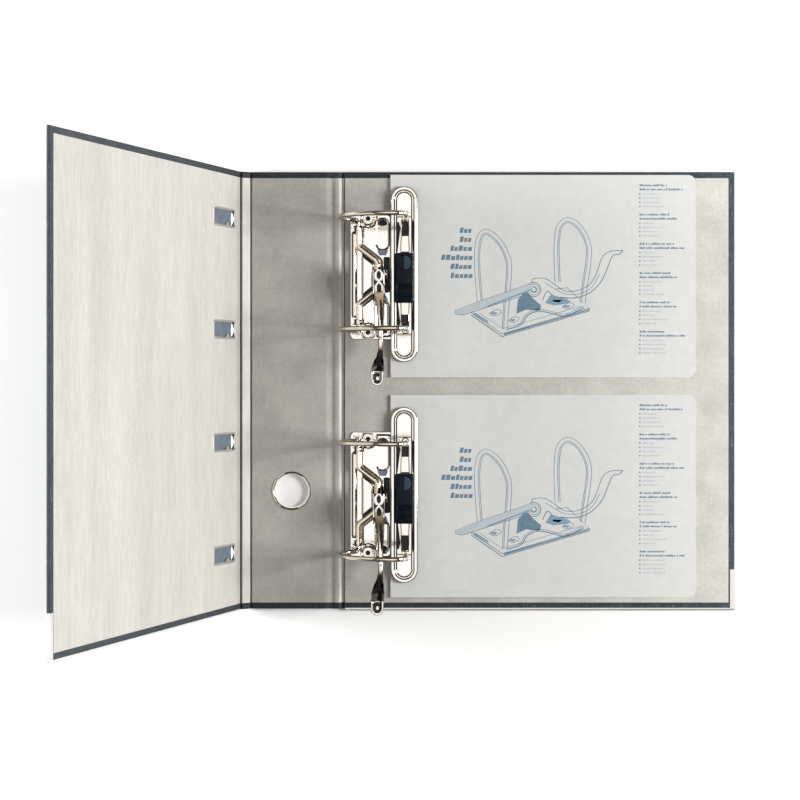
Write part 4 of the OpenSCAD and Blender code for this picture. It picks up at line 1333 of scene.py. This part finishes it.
def drawing(bm, top):
    """Generic picture of a base plate, two arches, a bar and a raised lever, seen at an angle."""
    def at(points):
        return [(62.1 + u, top - 22.0 - v) for u, v in points]

    def stroke(points, width=0.45, material=0, closed=False, smooth=True):
        line = smooth_line(at(points)) if smooth else [Vector(p) for p in at(points)]
        ribbon(bm, line, width, closed, material)
        return line

    def fill(points, material=1):
        flat_patch(bm, at(points), material)

    def tube(points, r):
        line = smooth_line(at(points))
        ribbon(bm, offset_line(line, r), 0.4)
        ribbon(bm, offset_line(line, -r), 0.4)
        ribbon(bm, offset_line(line, -r * 0.45), 0.5, material=1)

    stroke([(29.5, 78), (52.6, 93.6), (116, 75), (100, 60), (92, 61)], 0.5, smooth=False)
    stroke([(30, 80), (52.6, 95.6), (116, 77), (116, 75)], 0.6, smooth=False)
    stroke([(36, 78.5), (53, 90), (110, 73.5)], 0.4, 1, smooth=False)
    fill([(33, 78.2), (42, 84), (43, 86.2), (31.5, 79.2)])
    fill([(54, 93.4), (116, 75.6), (116, 76.4), (54, 94.6)], 0)
    for u, v, wide in ((43, 79, 9), (57, 84, 8), (88, 70, 12), (96, 74, 9)):
        stroke([(u, v), (u + wide * 0.5, v + 1.5), (u + wide, v - 1.2), (u + wide * 0.6, v - 3),
                (u, v)], 0.4)
        fill([(u + 1, v), (u + wide * 0.5, v + 0.8), (u + wide * 0.7, v - 1), (u + 2, v - 1.2)])
    fill([(24, 79.4), (18.6, 78.6), (18.8, 76.4), (36, 70), (73, 57.3), (76, 60), (41, 73.6)], 2)
    stroke([(24, 80), (18.4, 79), (18.6, 76.6), (36, 70), (73, 57.3)], 0.5, smooth=False)
    stroke([(24, 80), (41, 74.5), (72, 64.5)], 0.5, smooth=False)
    fill([(40, 71.5), (72, 59.6), (73, 62.6), (42, 74)])
    stroke([(38, 74.6), (70, 62.8)], 0.4, smooth=False)
    fill([(63, 79), (64, 69), (69, 62.5), (74, 67), (81, 73), (80, 77), (70, 76)], 0)
    fill([(84, 71), (88, 65), (95, 67), (103, 70), (98, 72), (90, 73)])
    tube([(55.5, 90), (66, 86.5), (70.5, 80), (79, 76.5), (90, 78.5), (99, 80), (112, 74)], 0.8)
    lever_top = [(74.5, 56.5), (75, 53.8), (83, 53.2), (90, 57), (98, 62.3), (108, 62), (117, 57),
                 (121.8, 48), (125.5, 38), (131, 33.6), (140.5, 33)]
    lever_low = [(140.5, 33), (138, 35.6), (133, 37), (129.5, 45), (125, 55), (117.5, 63), (108, 67),
                 (98, 67.4), (90, 66), (85.5, 62.5), (82, 69)]
    stroke(lever_top, 0.5)
    stroke(lever_low, 0.6)
    stroke([(84, 56.5), (92, 61.5), (99, 64.6), (109, 64.4), (118, 59.5), (123.5, 50)], 0.5, 1)
    for r, kind, wide in ((5.2, INK, 0.6), (3.9, INK_LIGHT, 0.5), (1.9, INK, 0.9)):
        stroke(circle(r, 20, 75.6, 61.4), wide, kind, True, smooth=False)
    tube([(36.5, 72), (34.7, 50), (34.4, 34), (36.2, 23.4), (40.2, 19.4), (46, 22), (52, 28.6),
          (56.4, 38), (57.6, 46), (56.6, 62), (55.2, 78), (54.6, 90)], 1.9)
    tube([(93, 56), (92.3, 40), (92.4, 26), (94.4, 15.4), (100, 10.8), (106.8, 14), (112.4, 21.4),
          (115.6, 31), (115.2, 42), (112.8, 58), (111.2, 71)], 1.9)


# ---- Finishes of the CAD nodes that stay ----


def finish_nodes():
    """Gives the CAD nodes that stay visible their materials."""
    finishes = {
        "back_edge_guard": "guard", "front_edge_guard": "guard",
        "finger_washer": "nickel", "spine_label": "label",
    }
    for node, material in finishes.items():
        mesh = frame["nodes"][node].data
        mesh.materials.clear()
        mesh.materials.append(M[material])


# ---- Stage, light and camera ----


def stage():
    """Plain floor just below the case."""
    bm = bmesh.new()
    bmesh.ops.create_grid(bm, x_segments=2, y_segments=2, size=6.0)
    finish_piece("floor", bm, None, ["floor"], Matrix.Translation((0, 0, -0.0004)))


def soft_box(name, where, target, size, power, colour=(1, 1, 1)):
    """Rectangular area light that looks from one place at another."""
    data = bpy.data.lights.new(name, "AREA")
    data.shape = "RECTANGLE"
    data.size, data.size_y = size
    data.energy = power
    data.color = colour
    lamp = bpy.data.objects.new(name, data)
    bpy.context.scene.collection.objects.link(lamp)
    lamp.location = where
    lamp.rotation_euler = (Vector(target) - Vector(where)).to_track_quat("-Z", "Y").to_euler()


def studio():
    """Pale studio: even for matt surfaces, bright overhead and dark at the sides for metal."""
    world = bpy.data.worlds.new("studio")
    bpy.context.scene.world = world
    world.use_nodes = True
    world.node_tree.nodes.clear()
    w = Tree(world.node_tree)
    height = w.part_of(w.add("TexCoord").outputs["Generated"], "Z")
    ray = w.add("LightPath")
    shade = w.add("Background")
    matt = w.ramp(height, (0.0, (0.16, 0.16, 0.165)), (1.0, (0.36, 0.36, 0.365)))
    metal = w.ramp(height, (0.0, (0.30, 0.29, 0.28)), (0.25, (0.11, 0.11, 0.115)),
                   (0.74, (0.045, 0.04, 0.036)), (0.84, (0.45, 0.34, 0.23)),
                   (0.91, (0.98, 0.93, 0.85)), (1.0, (1.12, 1.12, 1.12)))
    colour = w.mix(ray.outputs["Is Glossy Ray"], matt, metal)
    colour = w.mix(ray.outputs["Is Camera Ray"], colour, (0.94, 0.94, 0.94))
    w.link(colour, shade.inputs["Color"])
    w.link(shade.outputs["Background"], w.add("OutputWorld").inputs["Surface"])


def lights():
    soft_box("key_box", (1.15, 0.05, 0.72), (0.0, 0, 0), (0.45, 0.6), 25, (1.0, 0.99, 0.97))
    soft_box("left_box", (-1.5, 0.1, 0.7), (-0.35, 0, 0), (0.5, 0.8), 26)


def camera():
    """Straight above the file, near the back crease."""
    data = bpy.data.cameras.new("camera")
    data.sensor_width = 36
    data.lens = 90.2
    data.shift_x, data.shift_y = 0.0108, -0.0274
    data.clip_start, data.clip_end = 0.05, 50
    eye = bpy.data.objects.new("camera", data)
    bpy.context.scene.collection.objects.link(eye)
    eye.location = Vector((HINGE_X + 34.0, 8.94, 1462.5)) * MM
    bpy.context.scene.camera = eye
    bpy.context.scene.view_settings.view_transform = "Standard"


camera()
stage()
studio()
lights()
case_panels()
case_creases()
slot_frames()
finger_ring()
for mechanism in MECHANISMS:
    base_plate(mechanism)
    mounting_rivets(mechanism)
    posts(mechanism)
    bow(mechanism)
    lever(mechanism)
    lever_pivot(mechanism)
    roller(mechanism)
    compressor_bar(mechanism)
    compressor_clip(mechanism)
    card(mechanism)
finish_nodes()
